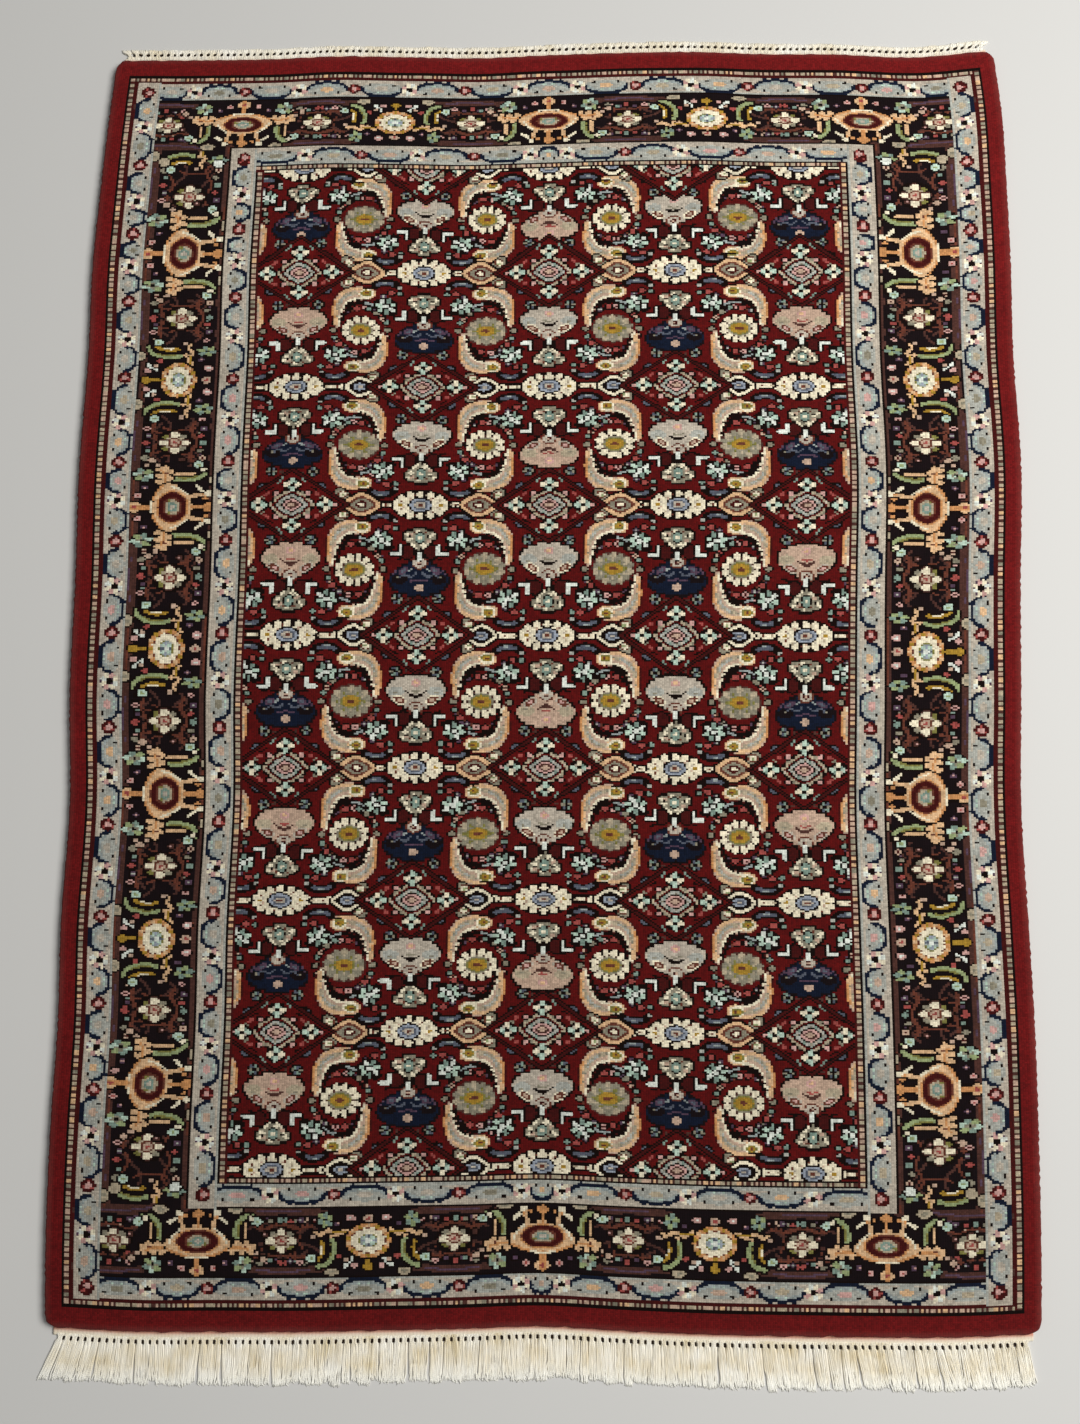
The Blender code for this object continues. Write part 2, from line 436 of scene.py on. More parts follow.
def crescent(y, wide, deep, thick):
    """Outline between two arcs with the same ends, one deeper than the other."""
    across = np.linspace(-1, 1, 9)
    near = [(wide * a, y + deep * (1 - a * a)) for a in across]
    far = [(wide * a, y + (deep - thick) * (1 - a * a)) for a in across[::-1]]
    return near + far


print("a palmette in 12 steps has", len(stairs(38, 51, 98, 12, 0.74, 0.8)), "corners")

# %% [markdown]
# ## The leaf that curls round a flower
# The field is a Herati trellis, one of the oldest rug designs: a diamond between four long
# leaves, each curled like a fish round a flower. The leaf's middle line is a quarter of a
# squared oval, and the leaf swells along it from tip to head. It is cream along its inner side,
# with a toothed dark shadow, and has an eye in its broad end. It is drawn for the upper right
# quarter of a diamond, and mirrored for the others.

# %% Fish leaf
LEAF_CORNER = (53, 29)
LEAF_WIDE = 46
LEAF_TALL = 52
LEAF_SQUARENESS = 3.6
LEAF_HALF_THICK = 10.5


def leaf_side(share, start=0.0, end=1.0, count=15):
    """Line along the leaf, from its tip to its head. The share is 1 on its outer edge, -1 on its inner."""
    angle = np.linspace(0, math.pi / 2, 60)
    x = LEAF_CORNER[0] + LEAF_WIDE * (1 - np.cos(angle) ** (2 / LEAF_SQUARENESS))
    y = LEAF_CORNER[1] + LEAF_TALL * (1 - np.sin(angle) ** (2 / LEAF_SQUARENESS))
    run = np.concatenate([[0], np.cumsum(np.hypot(np.diff(x), np.diff(y)))])
    part = np.linspace(start, end, count)
    x, y = np.interp(part * run[-1], run, x), np.interp(part * run[-1], run, y)
    along_x, along_y = np.gradient(x), np.gradient(y)
    length = np.hypot(along_x, along_y)
    out = share * LEAF_HALF_THICK * np.sin(math.pi * (0.05 + 0.7 * part))
    return list(zip(x + out * along_y / length, y - out * along_x / length))


def fish_leaf(pencil):
    """Long curled leaf with its shadow and its eye."""
    pencil.line(leaf_side(-1.3, 0.1, 0.85), 6.0, "black", curved=False)
    pencil.shape(leaf_side(1) + leaf_side(-1)[::-1], "fawn", "wine", 2.0, curved=False)
    pencil.line(leaf_side(0.5, 0.08, 0.5), 6.4, "peach", curved=False)
    pencil.line(leaf_side(0.8, 0.18, 0.45), 3.0, "orange", curved=False)
    pencil.line(leaf_side(0.1, 0.35, 0.75), 6.0, "tan", curved=False)
    pencil.line(leaf_side(0.05, 0.42, 0.68), 2.8, "grey", curved=False)
    pencil.line(leaf_side(0.7, 0.55, 0.95), 4.4, "peach", curved=False)
    pencil.line(leaf_side(-0.7, 0.04, 0.85), 3.4, "cream", curved=False)
    for x, y in leaf_side(-1, 0.15, 0.75, 7):
        pencil.oval(x, y, 2.9, 2.2, "black")
    for x, y in leaf_side(0.2, 0.2, 0.8, 6):
        pencil.oval(x, y, 1.7, 1.4, "drab")
    pencil.oval(93, 30, 11.5, 8.6, "peach")
    pencil.oval(92, 30, 10.0, 7.2, "cream")
    pencil.oval(92, 29, 7.4, 5.0, "olive")
    pencil.oval(92, 29, 5.2, 3.2, "ochre")
    pencil.oval(93, 29, 2.4, 1.4, "brown")


print("leaf is", LEAF_WIDE, "mm wide and", LEAF_TALL, "mm tall along its middle")

# %% [markdown]
# ## The flowers of the field
# Between the leaves stand a round daisy, a broad palmette seen from the side and a small tulip
# on a white stem. The daisy comes in two kinds, with white or with sand-coloured petals.

# %% Daisy
def daisy(pencil, petal):
    """Round flower of parted petals about an ochre heart."""
    if petal == "cream":
        pencil.oval(0, 0, 27.0, 22.0, "black")
        pencil.petals(0, 0, 20.4, 16.2, 12, 5.8, ("cream",), 0.5, slim=0.74)
        pencil.oval(0, 0, 16.0, 11.8, "drab")
        pencil.petals(0, 0, 17.2, 13.2, 12, 1.8, ("walnut",), 0.0)
        pencil.oval(0, 0, 13.8, 9.6, "olive")
    else:
        pencil.oval(0, 0, 28.0, 22.0, "walnut")
        pencil.oval(0, 0, 25.5, 18.8, "drab")
        pencil.petals(0, 0, 22.5, 16.6, 14, 4.9, ("drab", "tan"), 0.5, slim=0.8)
        pencil.oval(0, 0, 20.0, 13.6, "drab")
        pencil.petals(0, 0, 17.5, 11.4, 12, 2.4, ("olive", "tan"), 0.0)
        pencil.oval(0, 0, 15.0, 8.2, "olive")
    pencil.oval(0, 0, 12.0, 7.6, "ochre")
    pencil.oval(0, 0, 5.6, 2.4, "brown")


print("a daisy has 12 white petals or 14 sand-coloured ones")

# %% [markdown]
# A palmette is a flower cut through its middle: a fan in steps, with a mark like a mouth, two
# leaning side petals and a small bud where its stem begins. It is pink, light grey or indigo,
# in turn from row to row. Each kind has its own seven dyes.

# %% Palmette
PALMETTE = stairs(38, 51, 98, 12, 0.74, 0.8)
# (body, cheeks, chin, mark, rings, eyes and lids of the side petals)
PALMETTE_DYES = {
    "pink": ("fawn", "tan", "pink", "walnut", "brown", "pink", "sand"),
    "grey": ("sand", "grey", "pink", "black", "brown", "fawn", "cream"),
    "indigo": ("indigo", "navy", "fawn", "slate", "plum", "slate", "indigo"),
}


def palmette(pencil, kind):
    """Broad flower seen from the side, its tip towards the diamond."""
    body, cheek, chin, mark, ring, eye, lid = PALMETTE_DYES[kind]
    pencil.shape(PALMETTE, body, "black" if kind != "indigo" else "navy", 2.2, curved=False)
    for side in (1, -1):
        half = pencil.at(0, 0, flip_x=side)
        half.oval(26, 72, 10.5, 6.6, cheek)
        half.oval(21, 83, 9.6, 5.6, lid, lean=-0.5)
        half.oval(21, 83, 8.0, 3.8, ring, lean=-0.5)
        half.oval(21, 83, 4.0, 1.8, eye, lean=-0.5)
        half.oval(27, 74, 2.2, 1.6, "drab")
    pencil.oval(0, 61, 6.0, 4.8, chin)
    pencil.oval(0, 61, 3.0, 2.2, "peach" if kind != "indigo" else chin)
    if kind == "indigo":
        for side in (1, -1):
            pencil.line([(side * 4, 80), (side * 11, 75), (side * 19, 78), (side * 25, 74)], 2.4, mark)
            pencil.line([(side * 9, 86), (side * 14, 83)], 2.2, "teal")
            pencil.line([(side * 30, 84), (side * 34, 78)], 2.2, "plum")
        pencil.line([(-12, 69), (0, 71), (12, 69)], 2.2, "plum")
    else:
        pencil.shape(crescent(71, 14, 10, 5), mark, curved=False)
        pencil.line([(-6, 71), (0, 73), (6, 71)], 2.4, "rose" if kind == "pink" else "drab")
    pencil.oval(0, 93, 8.5, 6.4, "sand", "brown", 2.0)
    pencil.oval(0, 93, 4.0, 3.0, "wine")
    pencil.oval(0, 93, 1.9, 1.6, "fawn")


print("palmettes in", ", ".join(PALMETTE_DYES))

# %% [markdown]
# The tulip stands beyond the palmette, on a white stem. It widens in steps too, and is fullest
# past its middle.

# %% Tulip
TULIP = stairs(21, 109, 139, 8, 1.6, 0.85)


def tulip(pencil):
    """Small flower on a white stem, beyond the palmette."""
    pencil.line([(0, 100), (0, 114)], 9.6, "black", curved=False)
    pencil.line([(0, 98), (0, 114)], 5.6, "white", curved=False)
    pencil.shape(TULIP, "drab", "black", 2.4, curved=False)
    pencil.petals(0, 126, 13.5, 8.0, 8, 3.4, ("cream", "drab", "cream", "fawn"), 0.25)
    for side in (1, -1):
        pencil.line([(side * 5, 113), (side * 11, 119)], 2.8, "cream")
        pencil.oval(side * 17, 131, 2.8, 2.2, "cream")
        pencil.oval(side * 12, 128, 2.0, 1.6, "black")
        pencil.oval(side * 7, 133, 2.0, 1.6, "brown")
    pencil.oval(0, 126, 5.6, 7.4, "sage", "black", 1.6)
    pencil.oval(0, 126, 2.4, 2.0, "cream")


print("tulip outline has", len(TULIP), "corners")

# %% [markdown]
# ## White sprays and thin stems
# The ground between the big motifs is never left bare. A spray of white leaves with a hook
# stands on each side of the tulip. Thin stems run in arcs round the daisy, with small buds at
# even steps along them. Each bud has a dark rim, because a light knot beside a red one would
# blur without it.

# %% Sprays, stems and buds
SPRAY_MIDDLE = (50, 122)
# Middle of the round flower of the quarter, half the step between two diamonds each way
FLOWER_X = 84
FLOWER_Y = 85
# (bud, dot in it)
BUD_DYES = (("pink", "wine"), ("plum", "grey"), ("rose", None), ("sage", None), ("drab", None),
            ("fawn", "wine"))
BUD_PLACES = (arc(FLOWER_X, FLOWER_Y, 36, 33, 100, 262, 9)
              + arc(FLOWER_X, FLOWER_Y, 35, 35, 290, 330, 3)
              + arc(40, 118, 23, 22, 20, 110, 4))
# (points, width, dye)
THIN_STEMS = (
    (arc(FLOWER_X, FLOWER_Y, 40, 42, 255, 325), 6.0, "black"),
    (arc(FLOWER_X, FLOWER_Y, 40, 42, 260, 315), 2.8, "teal"),
    (arc(FLOWER_X, FLOWER_Y, 33, 32, 95, 175), 2.8, "brown"),
    (arc(FLOWER_X, FLOWER_Y, 33, 32, 185, 250), 2.6, "brown"),
    (arc(FLOWER_X, FLOWER_Y, 38, 36, 130, 165), 2.4, "plum"),
    (arc(30, 120, 18, 22, 200, 270), 2.6, "black"),
)


def spray(pencil):
    """White leaves and a hook beside the tulip's stem."""
    pencil.oval(16, 107, 8.6, 8.6, "wine", "black", 2.2)
    pencil.oval(42, 113, 9, 5.0, "black")
    for width, dye in ((8.0, "black"), (4.6, "white")):
        pencil.line([(25, 114), (25, 104), (36, 104)], width, dye, curved=False)
    pencil.oval(*SPRAY_MIDDLE, 16, 12.5, "black")
    pencil.petals(*SPRAY_MIDDLE, 9.6, 7.8, 7, 4.8, ("mint", "white", "sage"), 0.2, slim=0.6)
    pencil.oval(*SPRAY_MIDDLE, 4.2, 3.0, "white", "black", 1.6)


def stems(pencil):
    """Thin stems and buds round the place of the daisy."""
    for points, width, dye in THIN_STEMS:
        pencil.line(points, width, dye)
    for k, (x, y) in enumerate(BUD_PLACES):
        dye, dot = BUD_DYES[k % len(BUD_DYES)]
        pencil.oval(x, y, 4.4 - k % 2, 3.3 - 0.6 * (k % 2), dye, "black", 1.9)
        if dot:
            pencil.oval(x, y, 1.9, 1.5, dot)


print(len(THIN_STEMS), "stems and", len(BUD_PLACES), "buds to a quarter")

# %% [markdown]
# ## The diamonds and what joins them
# A diamond stands where four leaves meet. From its side points a small lozenge and a neck lead
# to a cartouche, a ring of cream pearls about a blue oval, which lies between this diamond and
# the next one in its row.

# %% Diamond, lozenge, neck and cartouche
DIAMOND_FRAMES = ((78, 53, "black"), (75, 50.9, "wine"), (70.5, 47.8, "black"), (67.4, 45.7, "madder"))
HEART_RINGS = ((34, 26, "black"), (30.5, 23, "tan"), (26, 19, "madder"), (23.5, 17, "black"),
               (21, 15, "grey"), (15.5, 10.6, "black"), (13, 8.6, "pink"), (9.5, 6, "walnut"),
               (6, 3.4, "fawn"))
ROUNDER = 0.59
LOZENGE_DYES = {"peach": ("peach", "brown", "drab", "wine", "cream"),
                "cream": ("cream", "black", "blue", "slate", "black")}


def stepped_ring(pencil, wide, tall, dye):
    """Eight-sided patch between a diamond and an oval."""
    outline = [(wide, 0), (wide * ROUNDER, tall * ROUNDER), (0, tall), (-wide * ROUNDER, tall * ROUNDER),
               (-wide, 0), (-wide * ROUNDER, -tall * ROUNDER), (0, -tall), (wide * ROUNDER, -tall * ROUNDER)]
    pencil.shape(outline, dye, curved=False)


def little_cross(pencil, x, y, light, heart):
    """Four small petals about a dark heart."""
    pencil.oval(x, y, 13.0, 10.0, "black")
    pencil.petals(x, y, 7.4, 5.8, 4, 4.2, light)
    pencil.petals(x, y, 6.0, 4.8, 4, 2.2, ("sage", "sand"), 0.5)
    pencil.oval(x, y, 3.0, 2.2, heart)


def diamond(pencil):
    """Trellis diamond with its stepped heart and four small flowers."""
    for wide, tall, dye in DIAMOND_FRAMES:
        pencil.shape([(wide, 0), (0, tall), (-wide, 0), (0, -tall)], dye, curved=False)
    for wide, tall, dye in HEART_RINGS:
        stepped_ring(pencil, wide, tall, dye)
        if dye == "tan":
            pencil.petals(0, 0, wide - 5, tall - 4, 16, 2.4, ("sand", "black", "drab", "black"), 0.5)
        if dye == "grey":
            pencil.petals(0, 0, wide - 6, tall - 4, 12, 2.0, ("drab", "sand", "sage"), 0.0)
    for side in (1, -1):
        little_cross(pencil, side * 44, 0, ("mint", "cream"), "black")
        little_cross(pencil, 0, side * 28, ("cream", "mint"), "black")
        pencil.oval(side * 57, 0, 3.0, 2.2, "pink", "black", 1.4)
        for up in (1, -1):
            pencil.oval(side * 21, up * 16, 3.6, 2.8, "pink", "black", 1.6)
            pencil.oval(side * 33, up * 15, 4.2, 2.2, "rose", lean=-side * up * 0.55)
            pencil.line([(side * 12, up * 38), (side * 18, up * 31)], 2.2, "sage")
            pencil.line([(side * 25, up * 24), (side * 33, up * 20)], 2.2, "black")
            pencil.line([(side * 36, up * 9), (side * 41, up * 12)], 2.2, "drab")


def lozenge(pencil, kind):
    """Small lozenge with an eye."""
    rim, gap, heart, dot, light = LOZENGE_DYES[kind]
    wide, tall = (25, 16) if kind == "peach" else (21, 14.5)
    outer = [(1, 0), (0.5, 0.7), (0, 1), (-0.5, 0.7), (-1, 0), (-0.5, -0.7), (0, -1), (0.5, -0.7)]
    outer = [(wide * x, tall * y) for x, y in outer]
    pencil.shape(outer, rim, "black", 2.4)
    pencil.shape([(0.78 * x, 0.72 * y) for x, y in outer], gap)
    if kind == "peach":
        pencil.shape([(0.60 * x, 0.54 * y) for x, y in outer], heart)
        pencil.oval(0, 0, 8.0, 5.4, dot)
        pencil.oval(0, 0, 4.6, 2.6, light)
    else:
        pencil.oval(0, 0, 9.4, 5.4, heart)
        pencil.oval(0, 0, 6.0, 3.0, dot)
        pencil.oval(0, 0, 3.0, 1.4, "sand")


def neck(pencil, start):
    """Leaflets and a cream stalk between a diamond, its lozenge and the cartouche."""
    for up in (1, -1):
        pencil.oval(67, up * 14, 10.5, 6.4, "drab", "black", 2.0, -up * 0.6)
        pencil.oval(67, up * 14, 5.0, 3.6, "cream", "brown", 1.6)
        pencil.oval(68, up * 13, 2.2, 1.6, "green")
        pencil.line(arc(118, up * 26, 19, up * 12, 215, 325), 10.4, "black")
        pencil.line(arc(118, up * 26, 17, up * 11, 225, 300), 5.0, "slate")
        pencil.line([(113, up * 14), (119, up * 14)], 2.2, "teal")
        pencil.oval(136, up * 22, 3.0, 2.2, "grey", "black", 1.6)
        pencil.line([(88, up * 22), (98, up * 22), (106, up * 20)], 2.2, "black")
    pencil.line([(start, 0), (150, 0)], 11.0, "black")
    pencil.line([(start, 0), (150, 0)], 5.6, "cream")
    pencil.oval(start + 4, 0, 5.0, 4.6, "cream", "black", 1.6)
    pencil.oval(133, 0, 4.6, 4.6, "cream", "black", 1.6)
    pencil.oval(start + 11, 0, 2.0, 1.6, "brown")
    pencil.oval(127, 0, 2.0, 1.6, "tan")


def cartouche(pencil):
    """Ring of cream pearls about a blue oval."""
    pencil.oval(0, 0, 38.5, 21.5, "black")
    pencil.petals(0, 0, 30.5, 14.4, 14, 5.7, ("cream",), 0.5, slim=0.82)
    pencil.oval(0, 0, 26.5, 11.5, "cream")
    pencil.petals(0, 0, 28.0, 13.4, 14, 1.8, ("brown", "tan"), 0.0)
    pencil.petals(0, 0, 23.0, 10.5, 10, 1.6, ("sand", "fawn"), 0.5)
    pencil.oval(0, 0, 16.5, 11.0, "black")
    pencil.oval(0, 0, 14.0, 8.8, "blue")
    pencil.oval(0, 0, 10.4, 6.2, "slate")
    pencil.oval(0, 0, 7.6, 4.2, "sand")
    pencil.oval(0, 0, 4.2, 2.0, "brown")
    for side in (1, -1):
        pencil.oval(side * 26, 0, 3.0, 2.2, "ochre")


print("a diamond's heart is", len(HEART_RINGS), "rings of knots")

# %% [markdown]
# ## The whole field
# Diamonds stand like the black squares of a chessboard, 337 mm apart across and along, so that
# every second row is set off by half. A weaver never draws a motif twice just alike: each one
# is shifted here by a knot or less. The motifs that lie on top are drawn last.

# %% Paint the field
STEP_X = 168.5
STEP_Y = 169.5
FIRST_ROW_Y = 18.5
TOP_ROW = 4
TOP_SQUEEZE = 0.845
FIELD_HALF_WIDE = 392
FIELD_HALF_LONG = 669
QUARTERS = ((1, 1), (-1, 1), (1, -1), (-1, -1))


def by_hand(x, y, spread=0.8):
    """A place that misses its mark by a knot or less."""
    return x + hand.normal(0, spread), y + hand.normal(0, spread * 0.8)


def row_place(row):
    """Where a row of diamonds stands. The weaver ran out of length and squeezed the last one."""
    return FIRST_ROW_Y + STEP_Y * min(row, TOP_ROW - 1) + STEP_Y * TOP_SQUEEZE * max(row - TOP_ROW + 1, 0)


def squeeze(row, up):
    """How much the half of a row's motifs above or below the diamond is pressed together."""
    return TOP_SQUEEZE if row + (up > 0) >= TOP_ROW else 1.0


def field():
    """Repeat the diamonds and all that goes with them over the whole field."""
    centres = [(row, column, STEP_X * column, row_place(row))
               for row in range(-5, 6) for column in range(-3, 4) if (row + column) % 2]
    for motif in (stems, spray, fish_leaf):
        for row, _, x, y in centres:
            for flip_x, up in QUARTERS:
                motif(Pencil(*by_hand(x, y), flip_x, up, tall=squeeze(row, up)))
    for row, column, x, y in centres:
        for flip_x, up in QUARTERS:
            quarter = Pencil(*by_hand(x, y, 0.5), flip_x, up, tall=squeeze(row, up))
            quarter.oval(27, 47, 8.6, 8.0, "black")
            quarter.petals(27, 47, 4.8, 4.4, 6, 2.4, ("drab", "sage", "slate"))
            quarter.oval(27, 47, 2.4, 2.0, "black")
            quarter.oval(37, 25, 6.4, 5.0, "slate", "black", 2.4)
            quarter.oval(37, 25, 2.6, 2.2, "black")
            quarter.oval(14, 46, 2.4, 2.0, "walnut")
        for up in (1, -1):
            upper_row = row if up > 0 else row - 1
            if upper_row % 2:
                kind = ("pink", "grey", "indigo")[abs(column)] if abs(column) < 3 else "grey"
            else:
                kind = ("grey", "indigo", "pink")[abs(column)] if abs(column) < 3 else "indigo"
            palmette(Pencil(*by_hand(x, y, 0.5), 1, up, tall=squeeze(row, up)), kind)
            tulip(Pencil(*by_hand(x, y, 0.5), 1, up, tall=squeeze(row, up)))
    for row, column, x, y in centres:
        for side in (1, -1):
            joint = Pencil(*by_hand(x, y, 0.5), side, 1)
            kind, middle = ("peach", 92) if row % 2 else ("cream", 83)
            neck(joint, middle + 20)
            lozenge(joint.at(middle, 0), kind)
            cartouche(Pencil(x + side * STEP_X, y))
        diamond(Pencil(x, y))
    for row in range(-6, 6):
        for column in range(-3, 3):
            inner = column in (0, -1)
            petal = "cream" if inner == bool(row % 2) else "tan"
            middle = (row_place(row) + row_place(row + 1)) / 2
            daisy(Pencil(*by_hand(STEP_X * (column + 0.5), middle), tall=squeeze(row, 1)), petal)


def block(half_wide, half_long, dye):
    """Dye all knots of a rectangle about the middle."""
    chart[np.ix_(np.abs(knot_y) < half_long, np.abs(knot_x) < half_wide)] = DYE_NUMBER[dye]


block(FIELD_HALF_WIDE + 6, FIELD_HALF_LONG + 6, "madder")
field()
print("field painted:", np.count_nonzero(chart == DYE_NUMBER["madder"]), "knots of madder ground")

# %% [markdown]
# ## The big flowers of the main border
# The main border is indigo, so dark that it reads as black. Three kinds of flower go round it
# in turn: an orange palmette with curled leaves on its arms, a white and blue rosette, and a
# small cross-shaped star. They are drawn lying down, for the near and far ends, with the
# rug's inside below them. On the long sides they are turned, and stretched along. The palmette
# comes first, with its arms, fingers and leaves.

# %% Border palmette
BORDER_PALMETTE = stairs(41, -19, 20, 13, 1.15, 0.75)
FLOWER_RINGS = ((29, 14.2, "orange"), (27, 13.0, "brown"), (25.5, 12.2, "wine"), (17, 8.4, "brown"),
                (13.5, 6.6, "tan"), (9, 4.4, "sage"), (4.4, 2.2, "sand"))


def bud(pencil, x, y, wide, tall, dye, dot=None, lean=0.0):
    """Small oval with a black rim and perhaps a dot."""
    pencil.oval(x, y, wide, tall, dye, "black", 1.9, lean)
    if dot:
        pencil.oval(x, y, wide * 0.35, tall * 0.42, dot)


def palmette_arm(half):
    """Arm of a palmette with its curled leaf, its green flower and its buds."""
    for width, dye in ((10.0, "black"), (5.6, "green")):
        half.line(arc(64, -10, 17, 20, 150, 285), width, dye)
    half.line(arc(64, -10, 14, 17, 165, 230), 2.4, "olive")
    for width, dye in ((7.0, "black"), (4.2, "peach")):
        half.line([(59, -1), (59, -19)], width, dye)
    bud(half, 74, -23, 6.4, 4.6, "mint", "green")
    bud(half, 66, -27, 3.4, 3.0, "cream")
    half.oval(47, -38, 9.6, 5.0, "tan", "black", 2.0)
    half.oval(47, -38, 4.0, 2.6, "drab")
    half.oval(56, 27, 13.0, 10.5, "black")
    half.petals(56, 27, 7.6, 6.2, 6, 4.6, ("sage", "mint", "green"), 0.3)
    half.petals(56, 27, 4.0, 3.4, 4, 2.4, ("drab",), 0.0)
    half.oval(56, 27, 2.4, 2.0, "black")
    half.line([(38, 7), (70, 7)], 12.0, "black", curved=False)
    for knob in range(3):
        half.oval(44 + 11 * knob, 11.5, 4.6, 4.2, "peach", "black", 2.2)
    for knob in range(2):
        half.oval(50 + 11 * knob, 3, 4.4, 3.6, "peach", "black", 2.2)
    half.line([(38, 7), (69, 7)], 7.4, "peach", curved=False)
    half.line([(40, 8), (52, 7), (64, 10)], 2.8, "orange")
    half.oval(49, 12, 2.0, 1.6, "black")
    half.oval(60, 6, 2.0, 1.6, "brown")
    half.oval(74, 14, 3.0, 2.6, "fawn", "black", 1.6)
    bud(half, 20, 31, 4.2, 3.4, "pink", "rose")
    bud(half, 34, 25, 3.4, 2.8, "plum", "pink")
    bud(half, 82, 20, 4.4, 3.4, "fawn")
    bud(half, 84, -8, 3.6, 3.0, "walnut", "pink")


def palmette_finger(half):
    """One of the two outer fingers, with its white hook."""
    half.line([(18, -15), (24, -34)], 9.5, "black")
    half.line([(26, -26), (36, -22)], 8.0, "black")
    half.line([(28, -27), (36, -22)], 4.2, "cream")
    half.line([(18, -15), (24, -34)], 4.8, "peach")
    half.oval(24, -33, 4.4, 3.8, "cream")
    half.oval(15, -30, 2.8, 2.4, "orange", "black", 1.6)
    half.oval(23, -28, 2.2, 1.8, "orange")


def border_palmette(pencil):
    """Orange flower with arms, fingers, leaves and buds."""
    for side in (1, -1):
        palmette_arm(pencil.at(0, 0, flip_x=side))
        palmette_finger(pencil.at(0, 0, flip_x=side))
    pencil.line([(0, 16), (0, 36)], 13, "black", curved=False)
    pencil.oval(0, 34, 9.4, 5.6, "peach", "black", 2.0)
    pencil.line([(0, -16), (0, -35)], 10.5, "black", curved=False)
    pencil.oval(0, -32, 8.0, 4.4, "orange", "black", 2.0)
    pencil.shape(BORDER_PALMETTE, "peach", "black", 2.4, curved=False)
    pencil.line([(0, -18), (0, -37)], 4.8, "orange", curved=False)
    pencil.line([(0, 20), (0, 38)], 6.4, "orange", curved=False)
    pencil.oval(0, 34, 3.0, 2.4, "rose")
    for side in (1, -1):
        pencil.line([(side * 18, -14), (side * 21, -23)], 4.8, "peach", curved=False)
        pencil.line([(side * 37, 9), (side * 26, 14), (side * 12, 18)], 2.8, "orange")
        pencil.line([(side * 36, 2), (side * 31, -6), (side * 22, -14)], 2.4, "cream")
    pencil.line([(-14, 18), (0, 19), (14, 18)], 2.4, "cream")
    for wide, tall, dye in FLOWER_RINGS:
        x, y = wide * 0.62, tall * 0.84
        pencil.shape([(wide, 0), (x, y), (0, tall), (-x, y), (-wide, 0), (-x, -y), (0, -tall), (x, -y)], dye)
    for side in (1, -1):
        pencil.oval(side * 10, 3, 2.2, 1.8, "olive")


print("border palmette outline has", len(BORDER_PALMETTE), "corners")

# %% [markdown]
# The rosette is round, white with a blue heart, and sits in an orange rim. On both sides it has
# a curled green leaf, drawn as an arc, and a wavy arm. The leaf is kept apart from the rest,
# because one more of it grows into each corner of the long sides.

# %% Border rosette
def rosette_leaf(half):
    """Curled green leaf and arm at one side of a rosette."""
    half.line(arc(62, 9, 20, 20, 215, 90), 10, "black")
    half.line(arc(66, 9, 10, 13, 215, 100), 8, "black")
    half.line(arc(62, 9, 20, 20, 215, 90), 5.2, "green")
    half.line(arc(62, 9, 17, 17, 195, 135), 2.2, "olive")
    half.line(arc(66, 9, 10, 13, 215, 100), 4.4, "ochre")
    half.line(arc(66, 9, 8, 10, 200, 145), 2.2, "cream")
    bud(half, 71, 20, 6.0, 4.6, "mint", "green")
    bud(half, 45, 36, 9.0, 4.2, "tan", "drab")
    half.oval(54, -25, 11.0, 9.6, "black")
    half.petals(54, -25, 6.2, 5.6, 6, 3.9, ("sage", "green"), 0.3)
    half.oval(54, -25, 2.4, 2.0, "black")
    half.line(wave(22, 68, -10, -2.5, 2.0), 8.6, "black")
    half.line(wave(22, 66, -10, -2.5, 2.0), 4.4, "peach")
    half.line([(26, -10), (44, -10)], 2.2, "ochre")
    half.oval(46, -6, 3.0, 2.4, "peach", "black", 1.4)
    half.oval(69, -5, 3.4, 2.8, "fawn", "black", 1.6)


def rosette_buds(pencil):
    """Leaves, arms and buds about a rosette."""
    for side in (1, -1):
        half = pencil.at(0, 0, flip_x=side)
        rosette_leaf(half)
        half.line([(20, 21), (29, 29)], 9.0, "black", curved=False)
        half.line([(20, 21), (29, 29)], 5.0, "white", curved=False)
        half.oval(17, 29, 4.2, 3.0, "pink", "black", 1.6)
        half.oval(27, 22, 3.2, 2.4, "fawn", "black", 1.4)
        bud(half, 22, -27, 5.8, 4.0, "pink", "white")
        bud(half, 36, 18, 3.8, 3.0, "rose")
        bud(half, 38, -20, 3.4, 2.8, "plum", "pink")
    pencil.line([(0, 14), (0, 29)], 9.0, "black", curved=False)
    pencil.oval(0, 30, 6.6, 4.2, "ochre", "black", 2)
    pencil.line([(0, 14), (0, 31)], 4.6, "ochre", curved=False)
    pencil.oval(0, -26, 6.6, 4.4, "fawn", "black", 2)
    pencil.oval(0, -26, 2.6, 2.0, "rose")


def border_rosette(pencil):
    """White flower with a blue heart in an orange rim."""
    pencil.oval(0, 0, 28.0, 20.4, "orange", "black", 2.4)
    pencil.petals(0, 0, 24.6, 17.4, 14, 3.2, ("peach", "ochre"), 0.5)
    pencil.oval(0, 0, 22.4, 15.4, "brown")
    pencil.oval(0, 0, 20.4, 13.6, "cream")
    pencil.petals(0, 0, 19.0, 12.6, 12, 3.4, ("cream",), 0.5)
    pencil.oval(0, 0, 12.4, 8.2, "olive")
    pencil.oval(0, 0, 11.0, 7.0, "teal")
    pencil.petals(0, 0, 7.0, 4.6, 8, 2.8, ("blue", "mint", "slate", "mint"))
    pencil.oval(0, 0, 4.2, 3.0, "white")


print("a rosette's leaf bends round in", len(arc(62, 9, 20, 20, 215, 90)), "points")

# %% [markdown]
# Between a palmette and a rosette stands a small star of four light petals on a dark ground.

